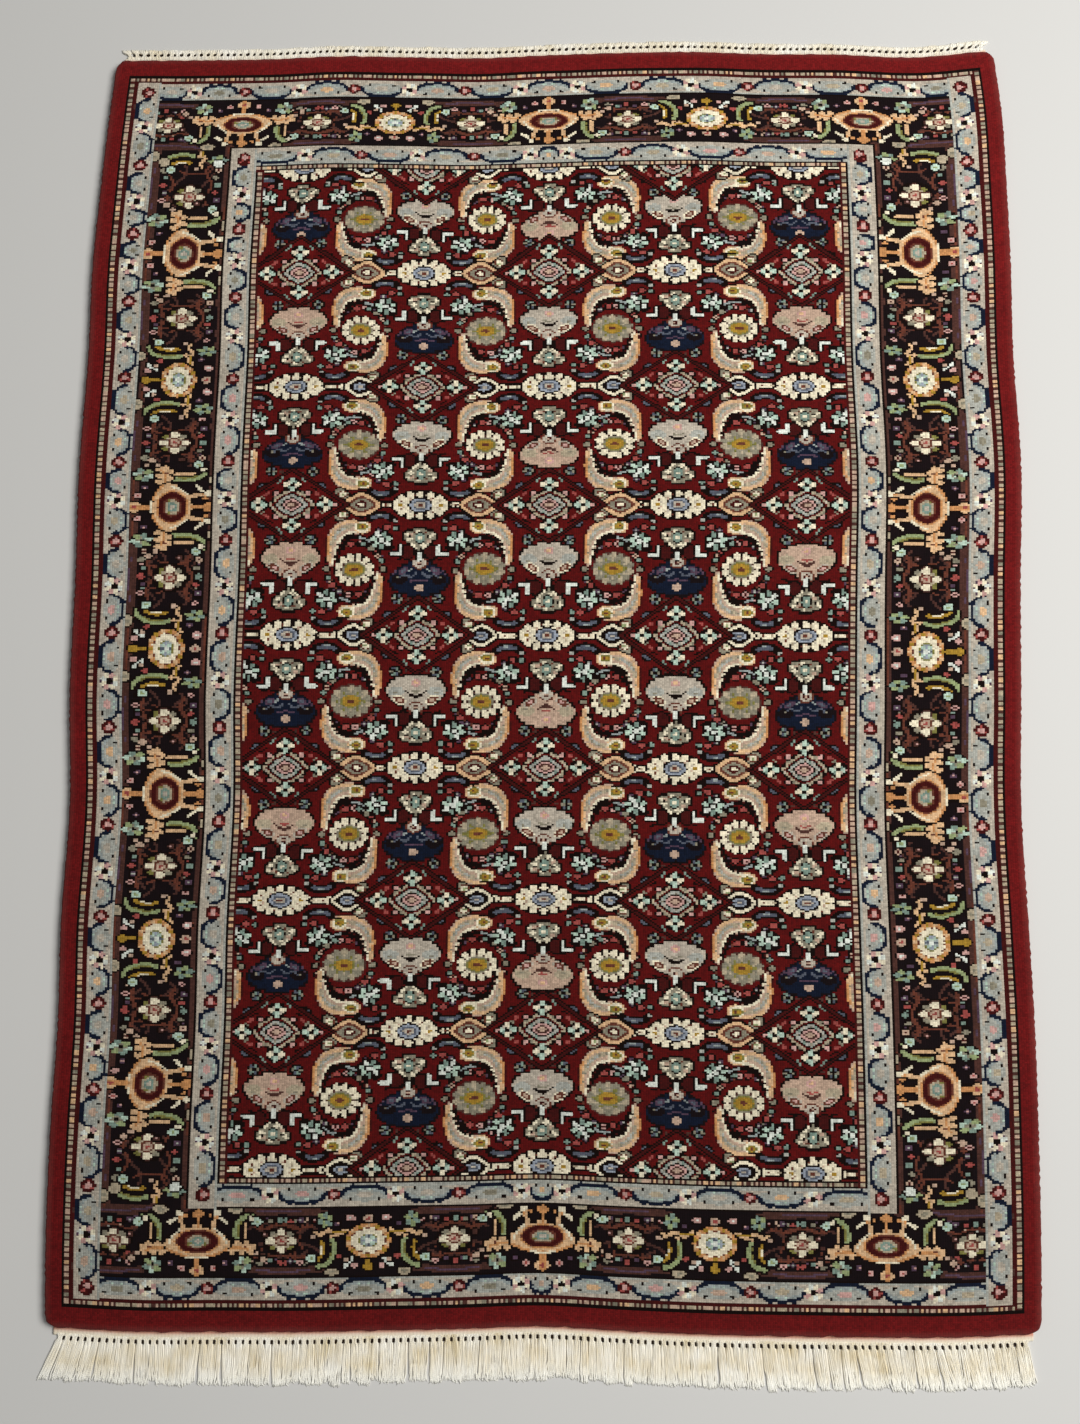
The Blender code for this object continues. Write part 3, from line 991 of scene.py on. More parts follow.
# %% Border star
def border_star(pencil):
    """Small flower of four long and four short petals."""
    pencil.oval(0, 0, 24, 17, "black")
    for side in (1, -1):
        for up in (1, -1):
            pencil.oval(side * 10.5, up * 7.6, 4.4, 3.0, "olive" if up > 0 else "drab")
            pencil.oval(side * 6.2, up * 5.2, 3.4, 2.8, "tan")
        pencil.oval(side * 13.4, 0, 6.2, 4.4, "cream", "walnut", 1.2)
        pencil.oval(0, side * 9.6, 4.8, 4.6, "cream", "walnut", 1.2)
    pencil.oval(0, 0, 9.0, 6.2, "brown")
    pencil.oval(0, 0, 6.6, 4.2, "fawn")
    pencil.oval(0, 0, 3.0, 1.9, "rose")


print("border flowers: palmette, rosette and star")

# %% [markdown]
# ## Stems between the border flowers
# Walnut-brown stems swing to and fro along the border, with small buds at even steps. They are
# so dark that one sees them only as a warm shimmer on the indigo, but without them the border
# would look empty.

# %% Border stems
# (points, width, dye)
BORDER_STEMS = (
    (wave(68, 160, 33, 2, 0.5), 7.4, "walnut"),
    (wave(72, 138, 34, 1.5, 0.5), 2.2, "plum"),
    (wave(78, 158, -33, -2, 0.5), 7.4, "walnut"),
    (wave(84, 138, -34, -1.5, 0.5), 2.2, "plum"),
    (wave(76, 152, 12, 8, 1.0), 3.4, "walnut"),
    (wave(76, 148, -14, 7, 1.0), 3.4, "walnut"),
    (wave(76, 142, -17, 3, 1.5), 3.4, "brown"),
    (wave(80, 140, 18, 3, 1.5), 3.4, "brown"),
    (arc(87, 6, 5, 14, -80, 80), 2.6, "brown"),
    (arc(133, -4, 5, 14, 100, 260), 2.6, "brown"),
)
# (x, y, half sizes, bud, dot), six on either side of the border's middle line
BORDER_BUDS = [(84 + 12.5 * k, side * (25 - 2 * (k % 2)), 4.2 - k % 2, 3.2 - 0.6 * (k % 2))
               + BUD_DYES[(k + (side < 0)) % len(BUD_DYES)] for side in (1, -1) for k in range(6)]


def border_stems(pencil):
    """Brown stems and buds on both sides of a big flower."""
    for side in (1, -1):
        half = pencil.at(0, 0, flip_x=side)
        for points, width, dye in BORDER_STEMS:
            half.line(points, width, dye)
        for x, y, wide, tall, dye, dot in BORDER_BUDS:
            bud(half, x, y, wide, tall, dye, dot)


print(len(BORDER_STEMS) * 2, "stems to a flower")

# %% [markdown]
# ## The narrow guard stripes
# On both sides of the main border runs a pale guard stripe. Its dark scalloped line swings
# from one edge to the other, and at every crossing sits a small flower, red and white in turn.
# Bead stripes, a light knot and a dark one, close the guards off. The outer one has its beads
# at its very edge, and the inner one leaves a dark knot clear beside them.

# %% Guard stripe and beads
SCALLOP_TURNS = np.linspace(math.pi, 0, 9)
SCALLOP = tuple(zip(1.1 * np.cos(SCALLOP_TURNS), np.sin(SCALLOP_TURNS) ** 0.8 - 0.3))
FLOWER_ROOM = 12
SHORTEST_BAY = 5
BEAD_PART = 0.32
BEAD_DYES = ("tan", "fawn", "drab", "tan", "fawn", "peach")
SPOT_DYES = ("fawn", "sand", "drab", "pink", "tan", "peach")


def guard_bay(pencil, middle, reach_along, half, up, spot):
    """Stretch between two flowers, with its dark scalloped line."""
    def place(x, y, scale=1.0):
        return middle + reach_along * x * scale, up * half * y * scale

    pencil.shape([place(x, y) for x, y in SCALLOP + ((0.7, -0.6), (0, -0.78), (-0.7, -0.6))], "grey")
    pencil.line([place(x, y - 0.16, 0.92) for x, y in SCALLOP[1:-1]], 3.4, "teal")
    pencil.oval(middle, -up * half * 0.1, reach_along * 0.34, half * 0.30, spot)
    pencil.line([place(x, y + 0.1) for x, y in SCALLOP], 4.2, "indigo")
    for x in (-1, 1):
        pencil.oval(*place(x * 0.56, 0.80), 3.4, 2.4, "indigo")
        pencil.oval(*place(x * 1.02, 0.10), 3.0, 3.0, "indigo")
        pencil.oval(*place(x * 0.62, -0.50), 2.2, 1.8, "black")
        pencil.oval(*place(x * 0.20, 0.42), 1.9, 1.5, "mint")


def guard_flower(pencil, stop, half, red):
    """Small flower where the scalloped line crosses the stripe."""
    if red:
        pencil.oval(stop, 0, 8.6, half * 0.60, "wine")
        pencil.petals(stop, 0, 5.0, half * 0.36, 6, 2.4, ("rose", "wine"))
        pencil.oval(stop, 0, 3.8, half * 0.26, "pink")
        return
    pencil.oval(stop, 0, 10.4, half * 0.72, "plum")
    pencil.petals(stop, 0, 7.6, half * 0.52, 8, 4.0, ("cream", "white", "cream", "pink"), 0.5, slim=0.8)
    pencil.oval(stop, 0, 4.4, half * 0.28, "black")


def guard(pencil, stops, width):
    """Guard stripe along the pencil's x, with a flower at each stop, red and white in turn."""
    half = width / 2
    low_end, high_end = stops[0] - half, stops[-1] + half
    pencil.bar(low_end, high_end, -half, half, "sand")
    pencil.line([(low_end, -half + 1.2), (high_end, -half + 1.2)], 2.8, "grey", curved=False)
    for k, (left, right) in enumerate(zip(stops[:-1], stops[1:])):
        spot = SPOT_DYES[hand.integers(len(SPOT_DYES))]
        reach_along = max((right - left) / 2 - FLOWER_ROOM, SHORTEST_BAY)
        guard_bay(pencil, (left + right) / 2, reach_along, half, 1 if k % 2 else -1, spot)
    middle_stop = len(stops) // 2 if len(stops) % 2 == 0 else 0
    for k, stop in enumerate(stops):
        red = k % 2 == 0 if k < middle_stop or not middle_stop else k % 2 == 1
        guard_flower(pencil, stop + hand.normal(0, 0.6), half, red)


def beads(pencil, start, end, width, gap, clear):
    """Narrow stripe: light beads on a dark ground, some way clear of its outer edge, and a red line."""
    half = width / 2
    outer = half - clear
    inner = outer - min(0.6 * width, 2 * KNOT_WIDE)
    for t_low, t_high, dye in ((-half, half, "black"), (inner - 3, inner, "wine"), (inner, outer, "walnut")):
        pencil.bar(start, end, t_low, t_high, dye)
    count = int((end - start) / gap)
    for k in range(count):
        x = start + (k + 0.5 + hand.normal(0, 0.06)) * (end - start) / count
        dye = BEAD_DYES[hand.integers(len(BEAD_DYES))]
        pencil.bar(x - gap * BEAD_PART, x + gap * BEAD_PART, inner, outer, dye)


print("a scallop runs through", len(SCALLOP), "points")

# %% [markdown]
# ## All the borders
# From the outside in: the plain red band, beads, outer guard, main border, inner guard and
# beads again, then the field. A line gives the half width and half length where each one
# begins. Blocks lay the grounds, and then each of the four sides is drawn along its middle.

# %% Paint the borders
BEGINS_X = {"beads": 593, "guard": 584, "main": 548, "inner": 440, "inner_beads": 404, "field": 392}
BEGINS_Y = {"beads": 821, "guard": 814, "main": 785, "inner": 703, "inner_beads": 676, "field": 669}
FIELD_KNOTS = chart[np.ix_(np.abs(knot_y) < FIELD_HALF_LONG, np.abs(knot_x) < FIELD_HALF_WIDE)].copy()
SIDE_STRETCH = {"wide": 0.80, "tall": 1.45}
STEM_STRETCH = {"wide": 0.86, "tall": 1.50}
ROSETTE_STRETCH = {"wide": 0.92, "tall": 1.18}
CORNER_LEAF_PLACE = 728
# Places of the flowers along a long side and along an end
SIDE_PALMETTES = (-555, -185, 185, 555)
SIDE_ROSETTES = (-370, 0, 370)
SIDE_STARS = (-632, -462, -277, -92, 92, 277, 462, 632)
END_PALMETTES = (-428, 0, 428)
END_ROSETTES = (-215, 215)
END_STARS = (-532, -323, -108, 108, 323, 532)
SIDE_STEM_END = 705
# (along the side, across it, half sizes, dye)
CORNER_BUDS = ((683, 38, 6.5, 8.0, "tan"), (680, -37, 6.0, 7.0, "white"), (716, 12, 4.2, 4.2, "plum"),
               (722, 30, 4.0, 4.6, "fawn"), (720, -12, 4.0, 3.6, "drab"), (758, 36, 4.2, 4.2, "drab"),
               (760, 20, 3.6, 3.6, "rose"), (727, 44, 3.4, 3.4, "grey"))


def end_pencil(begins, ends, end):
    """Pencil lying along the near or far end, halfway between two lines."""
    middle = (BEGINS_Y[begins] + BEGINS_Y[ends]) / 2
    return Pencil(0, end * middle, 1, end)


def side_pencil(begins, ends, side):
    """Pencil lying along the left or right side, halfway between two lines."""
    middle = (BEGINS_X[begins] + BEGINS_X[ends]) / 2
    return Pencil(side * middle, 0, 1, -side, math.pi / 2)


def main_border(pencil, palmettes, rosettes, stars, stretch, stem_stretch, rosette_stretch):
    """Stems first, then the flowers on top."""
    for place in palmettes + rosettes:
        border_stems(pencil.at(place, 0, **stem_stretch))
    for place in stars:
        border_star(pencil.at(place, 0, **stretch))
    for place in palmettes:
        border_palmette(pencil.at(place + hand.normal(0, 0.8), hand.normal(0, 0.5), **stretch))
    for place in rosettes:
        x, y = place + hand.normal(0, 0.8), hand.normal(0, 0.5)
        rosette_buds(pencil.at(x, y, **stretch))
        border_rosette(pencil.at(x, y, **rosette_stretch))


block(PILE_WIDE, PILE_LONG, "band")
block(BEGINS_X["beads"] + 3, BEGINS_Y["beads"] + 3, "black")
block(BEGINS_X["guard"] + 2, BEGINS_Y["guard"] + 2, "wine")
block(BEGINS_X["guard"] - 2, BEGINS_Y["guard"] - 1, "sand")
block(BEGINS_X["main"] + 3, BEGINS_Y["main"] + 3, "black")
block(BEGINS_X["main"], BEGINS_Y["main"], "navy")
for side in (-1, 1):
    along = side_pencil("main", "inner", side)
    for t in (-51, 50):
        along.line(wave(-SIDE_STEM_END, SIDE_STEM_END, t, 2, 1, 5), 10.5, "walnut")
        along.line(wave(-SIDE_STEM_END, SIDE_STEM_END, t + 1, 2, 1, 5), 2.6, "brown")
    main_border(along, SIDE_PALMETTES, SIDE_ROSETTES, SIDE_STARS, SIDE_STRETCH, STEM_STRETCH, ROSETTE_STRETCH)
    for end in (-1, 1):
        rosette_leaf(along.at(end * CORNER_LEAF_PLACE, 0, flip_x=-end, **SIDE_STRETCH))
        for s, t, wide, tall, dye in CORNER_BUDS:
            bud(along, end * s, t, wide, tall, dye)
for end in (-1, 1):
    across = end_pencil("main", "inner", end)
    for side in (-1, 1):
        across.line([(side * 470, -41), (side * 505, -38), (side * 538, -38)], 8.0, "walnut")
        across.line([(side * 475, -40), (side * 505, -37), (side * 536, -37)], 2.4, "plum")
    main_border(across, END_PALMETTES, END_ROSETTES, END_STARS, {}, {}, {})
print("main border painted")

# %% [markdown]
# The guards close round the corners: the stripes of the two ends run right through, and those
# of the long sides stop at a red flower in each corner.

# %% Paint the guards and beads
# Places of the small flowers: half of an end, by near (-1) or far (1), and the whole of a side
OUTER_END_STOPS = {-1: (25, 103, 181, 259, 337, 415, 489, 565),
                   1: (40, 118, 196, 274, 352, 430, 500, 565)}
INNER_END_STOPS = (25, 103, 181, 259, 337, 421)
OUTER_SIDE_STOPS = (-800, -737, -680, -620, -562, -510, -456, -402, -346, -290, -229, -167, -104, -42, 23, 86,
                    148, 205, 258, 315, 377, 433, 489, 539, 588, 636, 688, 745, 799)
INNER_SIDE_STOPS = (-688, -624, -565, -507, -452, -396, -340, -285, -225, -164, -103, -41, 23, 86, 151,
                    206, 259, 319, 377, 438, 493, 546, 594, 644, 695)
OUTER_CORNER = (565, 799)
INNER_CORNER = (421, 689)
END_GUARD_WIDTHS = (25, 24)
SIDE_GUARD_WIDTH = 33
END_BEAD_STEP = 7.0
SIDE_BEAD_STEP = 7.4


def on_chart(stops):
    """Places along the real rug as places on the chart, before the rows drift."""
    stops = np.array(stops, float)
    return list(stops - read_table(ROW_DRIFT, 1, stops))


def mirrored(stops):
    """The same places on both sides of the middle."""
    return [-stop for stop in stops[::-1]] + list(stops)


for grow, line, dye in ((3, "inner", "black"), (0, "inner", "sand"), (3, "inner_beads", "black")):
    block(BEGINS_X[line] + grow, BEGINS_Y[line] + grow, dye)
for end in (-1, 1):
    guard(end_pencil("guard", "main", end), mirrored(OUTER_END_STOPS[end]), END_GUARD_WIDTHS[0])
    guard(end_pencil("inner", "inner_beads", end), mirrored(INNER_END_STOPS), END_GUARD_WIDTHS[1])
for side in (-1, 1):
    guard(side_pencil("guard", "main", side), on_chart(OUTER_SIDE_STOPS), SIDE_GUARD_WIDTH)
    guard(side_pencil("inner", "inner_beads", side), on_chart(INNER_SIDE_STOPS), SIDE_GUARD_WIDTH)
    for end in (-1, 1):
        guard_flower(Pencil(side * OUTER_CORNER[0], end * OUTER_CORNER[1]), 0, 14, True)
        guard_flower(Pencil(side * INNER_CORNER[0], end * INNER_CORNER[1]), 0, 13, True)
block(BEGINS_X["inner_beads"] - 1, BEGINS_Y["inner_beads"] - 1, "black")
for begins, ends, clear in (("beads", "guard", 0), ("inner_beads", "field", 1)):
    for end in (-1, 1):
        wide, tall = BEGINS_X[begins], BEGINS_Y[begins]
        end_width, side_width = tall - BEGINS_Y[ends], wide - BEGINS_X[ends]
        beads(end_pencil(begins, ends, end), -wide, wide, end_width, END_BEAD_STEP, clear * KNOT_LONG)
        beads(side_pencil(begins, ends, end), -tall, tall, side_width, SIDE_BEAD_STEP, clear * KNOT_WIDE)
block(FIELD_HALF_WIDE + 2, FIELD_HALF_LONG + 2, "black")
chart[np.ix_(np.abs(knot_y) < FIELD_HALF_LONG, np.abs(knot_x) < FIELD_HALF_WIDE)] = FIELD_KNOTS
used = np.bincount(chart.ravel(), minlength=len(DYES))
print("most used dyes:", [list(DYES)[i] for i in np.argsort(-used)[:6]])

# %% [markdown]
# ## The wool pile as a mesh
# The pile's top is a fine grid, warped to the rug's true outline and slightly uneven, since
# shearing by hand leaves soft waves. Its edge is rounded over and goes down to the floor. One
# face holds two by two knots, so that the mesh stays light, and keeps the four dyes in four
# colour attributes. A closed underside makes it a solid that can be measured and printed.

# %% Grid of the pile's top
PILE_HIGH = 12
RIM_ROUND = 4.5
CORNER_ROUND = 16
RIM_STEPS = 4
FLOOR_GAP = 0.3
EDGE_KNOTS = 2
SHEAR_WAVE = 0.35
SHEAR_WAVE_LONG = 90
FRAY = 0.9
FRAY_LONG = 9
FRAY_REACH = 12
GRID_COLUMNS = (COLUMNS - 2 * EDGE_KNOTS) // 2
GRID_ROWS = (ROWS - 2 * EDGE_KNOTS) // 2


def soft_waves(x, y, length, seed):
    """Gentle random hills between -1 and 1, with about the length given from hill to hill."""
    waves = np.random.default_rng(seed)
    total = np.zeros_like(x)
    for _ in range(12):
        angle, phase = waves.uniform(0, 2 * math.pi, 2)
        stretch = 2 * math.pi / (length * waves.uniform(0.6, 1.8))
        total += np.sin((x * math.cos(angle) + y * math.sin(angle)) * stretch + phase)
    return total / 5


def round_corners(x, y, half_wide, half_long, radius):
    """Press the square corners of a grid into round ones, and give the outward direction."""
    middle_x = np.clip(x, -half_wide + radius, half_wide - radius)
    middle_y = np.clip(y, -half_long + radius, half_long - radius)
    dx, dy = x - middle_x, y - middle_y
    length = np.hypot(dx, dy)
    divisor = np.maximum(length, 1e-9)
    shrink = np.where(length > 0, np.maximum(abs(dx), abs(dy)) / divisor, 1)
    return middle_x + dx * shrink, middle_y + dy * shrink, dx / divisor, dy / divisor


def to_frame(x, y, z):
    """Points of the plan, in millimetres, as points of the CAD frame in metres."""
    return np.stack([(x + MIDDLE[0]) * MM, (y + MIDDLE[1]) * MM, z * MM], axis=-1)


top_half_wide, top_half_long = HALF_WIDE - RIM_ROUND, HALF_LONG - RIM_ROUND
grid_x, grid_y = np.meshgrid(np.linspace(-top_half_wide, top_half_wide, GRID_COLUMNS + 1),
                             np.linspace(-top_half_long, top_half_long, GRID_ROWS + 1))
print(f"grid of {GRID_COLUMNS} x {GRID_ROWS} faces, each {2 * top_half_wide / GRID_COLUMNS:.2f} mm wide")

# %% [markdown]
# The rim is made of loops of points, each a step further down the rounded edge and then a
# little inward under the pile. Faces join each loop to the next, and one large face closes the
# underside. The edge is also frayed by less than a millimetre.

# %% Rim, underside and faces of the pile
def border_loop(columns, rows):
    """Numbers of a grid's outer points, anticlockwise."""
    number = np.arange((columns + 1) * (rows + 1)).reshape(rows + 1, columns + 1)
    return np.concatenate([number[0, :-1], number[:-1, -1], number[-1, :0:-1], number[:0:-1, 0]])


def pile_points():
    """All points of the pile: the top grid, then one loop after another down the edge."""
    radius = CORNER_ROUND - RIM_ROUND
    x, y, out_x, out_y = round_corners(grid_x.ravel(), grid_y.ravel(), top_half_wide, top_half_long, radius)
    loop = border_loop(GRID_COLUMNS, GRID_ROWS)
    rim_x, rim_y, out_x, out_y = x[loop], y[loop], out_x[loop], out_y[loop]
    all_x, all_y, drop = [x], [y], [np.zeros(len(x))]
    for step in range(1, RIM_STEPS + 1):
        angle = step / RIM_STEPS * math.pi / 2
        all_x.append(rim_x + out_x * RIM_ROUND * math.sin(angle))
        all_y.append(rim_y + out_y * RIM_ROUND * math.sin(angle))
        drop.append(np.full(len(loop), RIM_ROUND * (1 - math.cos(angle))))
    for inward, down in ((0.4, PILE_HIGH - 2.2), (2.4, PILE_HIGH - FLOOR_GAP)):
        all_x.append(rim_x + out_x * (RIM_ROUND - inward))
        all_y.append(rim_y + out_y * (RIM_ROUND - inward))
        drop.append(np.full(len(loop), down))
    return np.concatenate(all_x), np.concatenate(all_y), np.concatenate(drop)


def pile_faces():
    """Corner numbers of all four-sided faces, and of the one large face underneath."""
    number = np.arange((GRID_COLUMNS + 1) * (GRID_ROWS + 1)).reshape(GRID_ROWS + 1, GRID_COLUMNS + 1)
    top = np.stack([number[:-1, :-1], number[:-1, 1:], number[1:, 1:], number[1:, :-1]], -1).reshape(-1, 4)
    loop = border_loop(GRID_COLUMNS, GRID_ROWS)
    rings = []
    for step in range(RIM_STEPS + 2):
        below = number.size + step * len(loop) + np.arange(len(loop))
        rings.append(np.stack([loop, below, np.roll(below, -1), np.roll(loop, -1)], -1))
        loop = below
    return top, np.concatenate(rings), loop[::-1]


def make_mesh(name, points, quads, others=()):
    """Mesh object of many four-sided faces and perhaps a few others."""
    mesh = bpy.data.meshes.new(name)
    corners = np.concatenate([quads.ravel()] + [np.asarray(face) for face in others]).astype(np.int32)
    sizes = np.array([4] * len(quads) + [len(face) for face in others], dtype=np.int32)
    mesh.vertices.add(len(points))
    mesh.vertices.foreach_set("co", np.asarray(points, np.float32).ravel())
    mesh.loops.add(len(corners))
    mesh.loops.foreach_set("vertex_index", corners)
    mesh.polygons.add(len(sizes))
    mesh.polygons.foreach_set("loop_start", np.concatenate([[0], np.cumsum(sizes)[:-1]]).astype(np.int32))
    mesh.polygons.foreach_set("loop_total", sizes)
    mesh.polygons.foreach_set("use_smooth", np.ones(len(sizes), dtype=bool))
    mesh.update(calc_edges=True)
    mesh.validate()
    made = bpy.data.objects.new(name, mesh)
    bpy.context.scene.collection.objects.link(made)
    return made


plan_x, plan_y, drop = pile_points()
top_faces, ring_faces, under_face = pile_faces()
real_x, real_y = out_of_true(*drifted(plan_x, plan_y))
edge_gap = np.minimum(HALF_WIDE - abs(plan_x), HALF_LONG - abs(plan_y))
shear = SHEAR_WAVE * soft_waves(plan_x, plan_y, SHEAR_WAVE_LONG, 3)
height = PILE_HIGH - drop + shear * (drop < 1) * np.clip(edge_gap / 20, 0, 1)
fray = FRAY * soft_waves(plan_x, plan_y, FRAY_LONG, 5) * np.clip(1 - edge_gap / 8, 0, 1)
real_x = real_x + fray * np.sign(plan_x) * (abs(plan_x) > HALF_WIDE - FRAY_REACH)
real_y = real_y + fray * np.sign(plan_y) * (abs(plan_y) > HALF_LONG - FRAY_REACH)
pile_quads = np.concatenate([top_faces, ring_faces])
pile = make_mesh("rug_pile", to_frame(real_x, real_y, height), pile_quads, [under_face])
print("pile:", len(pile.data.polygons), "faces,", [round(v, 4) for v in pile.dimensions])

# %% [markdown]
# ## Dyes and maps on the pile
# Each face stores the dyes of its four knots. Two maps go with the mesh: "knots" counts knots
# across and along, so that a node can tell which knot it is in and how far from its middle, and
# the other lays the same places over one picture, for when the material is baked. Two more
# attributes tell where feet and the broom wear the wool, along the edges, and how much painted
# shade darkens the rug towards its near end and its left side.

# %% Store dyes, knots and wear
def knot_place(x, y):
    """Place on the chart, counted in knots, of points of the plan."""
    return (x / top_half_wide * (COLUMNS / 2 - EDGE_KNOTS) + COLUMNS / 2,
            y / top_half_long * (ROWS / 2 - EDGE_KNOTS) + ROWS / 2)


def store_dyes(mesh):
    """Four colour attributes: the dyes of the left and right knots of a face's two rows."""
    colours = np.array([linear(c) for c in DYES.values()], np.float32)
    for up in (0, 1):
        for right in (0, 1):
            knots = chart[EDGE_KNOTS + up:ROWS - EDGE_KNOTS:2, EDGE_KNOTS + right:COLUMNS - EDGE_KNOTS:2]
            values = np.tile(colours[DYE_NUMBER["band"]], (len(mesh.polygons), 1))
            values[:knots.size] = colours[knots.ravel()]
            layer = mesh.attributes.new(f"dye_{up}{right}", "FLOAT_COLOR", "FACE")
            layer.data.foreach_set("color", values.ravel())


def store_map(mesh, name, u, v):
    """UV map from one pair of numbers for each point of the mesh."""
    corner = np.empty(len(mesh.loops), np.int32)
    mesh.loops.foreach_get("vertex_index", corner)
    layer = mesh.uv_layers.new(name=name)
    layer.data.foreach_set("uv", np.stack([u[corner], v[corner]], -1).astype(np.float32).ravel())


def store_number(mesh, name, values):
    """One number for each point of the mesh."""
    layer = mesh.attributes.new(name, "FLOAT", "POINT")
    layer.data.foreach_set("value", values.astype(np.float32))


BAKE_EDGE = 4
BAKE_SIDE = PILE_LONG + 40
WEAR_REACH = 9
knot_u, knot_v = knot_place(plan_x, plan_y)
around = drop / PILE_HIGH * BAKE_EDGE
sheet_u = 0.5 + (plan_x + np.sign(plan_x) * around * (abs(plan_x) > top_half_wide - 1)) / BAKE_SIDE
sheet_v = 0.5 + (plan_y + np.sign(plan_y) * around * (abs(plan_y) > top_half_long - 1)) / BAKE_SIDE
store_map(pile.data, "OFBake", sheet_u, sheet_v)
store_map(pile.data, "knots", knot_u, knot_v)
store_dyes(pile.data)
store_number(pile.data, "wear", np.clip(1 - edge_gap / WEAR_REACH, 0, 1))
# Painted shade: the pile is darkened towards its near end and its left side, and lit towards the far right.
store_number(pile.data, "painted_light_falloff", 0.5 + 0.47 * plan_y / HALF_LONG + 0.03 * plan_x / HALF_WIDE)
print("attributes:", [a.name for a in pile.data.attributes if a.name.startswith(("dye", "wear", "painted_light_falloff"))])

# %% [markdown]
# ## Hand-spun wool
# Wool pile is dyed hand-spun yarn cut across, so one sees the ends of thousands of fibres. It
# gives almost no highlight, but a soft sheen where light grazes it. Its roughness is near the
# top of the scale, and its IOR is that of keratin, 1.54. Dye takes unevenly: each knot differs
# a little from the next, patches of 9 and of about 70 mm are lighter or darker, and whole rows
# change tone where a new batch of yarn was begun. The near end is also painted a little darker
# than the far one, and the left side a little darker than the right: this is painted shade, not
# dye. The bump makes each knot a small dome, 2.95 by 2.09 mm, with fibres of
# 0.6 mm, which are drawn coarser than the real ones of 0.03 mm so that they show.

# %% Wool material
WOOL_ROUGH = 0.86
WOOL_IOR = 1.54
WOOL_SHEEN = 0.03
WOOL_GLOSS = 0.08
KNOT_TONE = 0.45
# Steps of the noise for each row of knots, so that a new batch begins about every 22 rows
BATCH_SCALE = 0.045
BATCH_TONE = 0.22
PATCH_MM = 71.43
PATCH_TONE = 0.28
MOTTLE_MM = 9
MOTTLE_TONE = 0.5
FALLOFF_FLOOR = 0.73
FALLOFF_SPAN = 0.33
FIBRE_MM = 0.6
FIBRE_TONE = 0.25
WORN_WOOL = "#7A3F39"
KNOT_EDGE_WIGGLE = 0.5
DOME_DEPTH = 1.3
FIBRE_DEPTH = 0.8
PILE_BUMP_MM = 0.9
PILE_BUMP_STRENGTH = 0.55


def tone(tree, socket, amount):
    """Turn a random number from 0 to 1 into a brightness about 1."""
    return add_node(tree, "Math", {0: socket}, {1: amount, 2: 1 - amount / 2},
                    operation="MULTIPLY_ADD").outputs[0]


def times(tree, *sockets):
    """Product of several numbers."""
    total = sockets[0]
    for socket in sockets[1:]:
        total = add_node(tree, "Math", {0: total, 1: socket}, operation="MULTIPLY").outputs[0]
    return total


def knot_dye(tree, place, fibres):
    """Colour of the knot at a place: one of the face's four, by odd and even row and column."""
    within = add_node(tree, "VectorMath", {0: place}, {1: (2, 2, 2)}, operation="MODULO").outputs[0]
    axes = add_node(tree, "SeparateXYZ", {0: within})
    limit = add_node(tree, "Math", {0: fibres}, {1: KNOT_EDGE_WIGGLE, 2: 1 - KNOT_EDGE_WIGGLE / 2},
                     operation="MULTIPLY_ADD").outputs[0]
    second = [add_node(tree, "Math", {0: axes.outputs[k], 1: limit}, operation="GREATER_THAN").outputs[0]
              for k in (0, 1)]
    rows = []
    for up in (0, 1):
        left, right = (add_node(tree, "Attribute", attribute_name=f"dye_{up}{k}").outputs["Color"]
                       for k in (0, 1))
        rows.append(add_node(tree, "Mix", {0: second[0], 6: left, 7: right}, data_type="RGBA").outputs[2])
    return add_node(tree, "Mix", {0: second[1], 6: rows[0], 7: rows[1]}, data_type="RGBA").outputs[2]


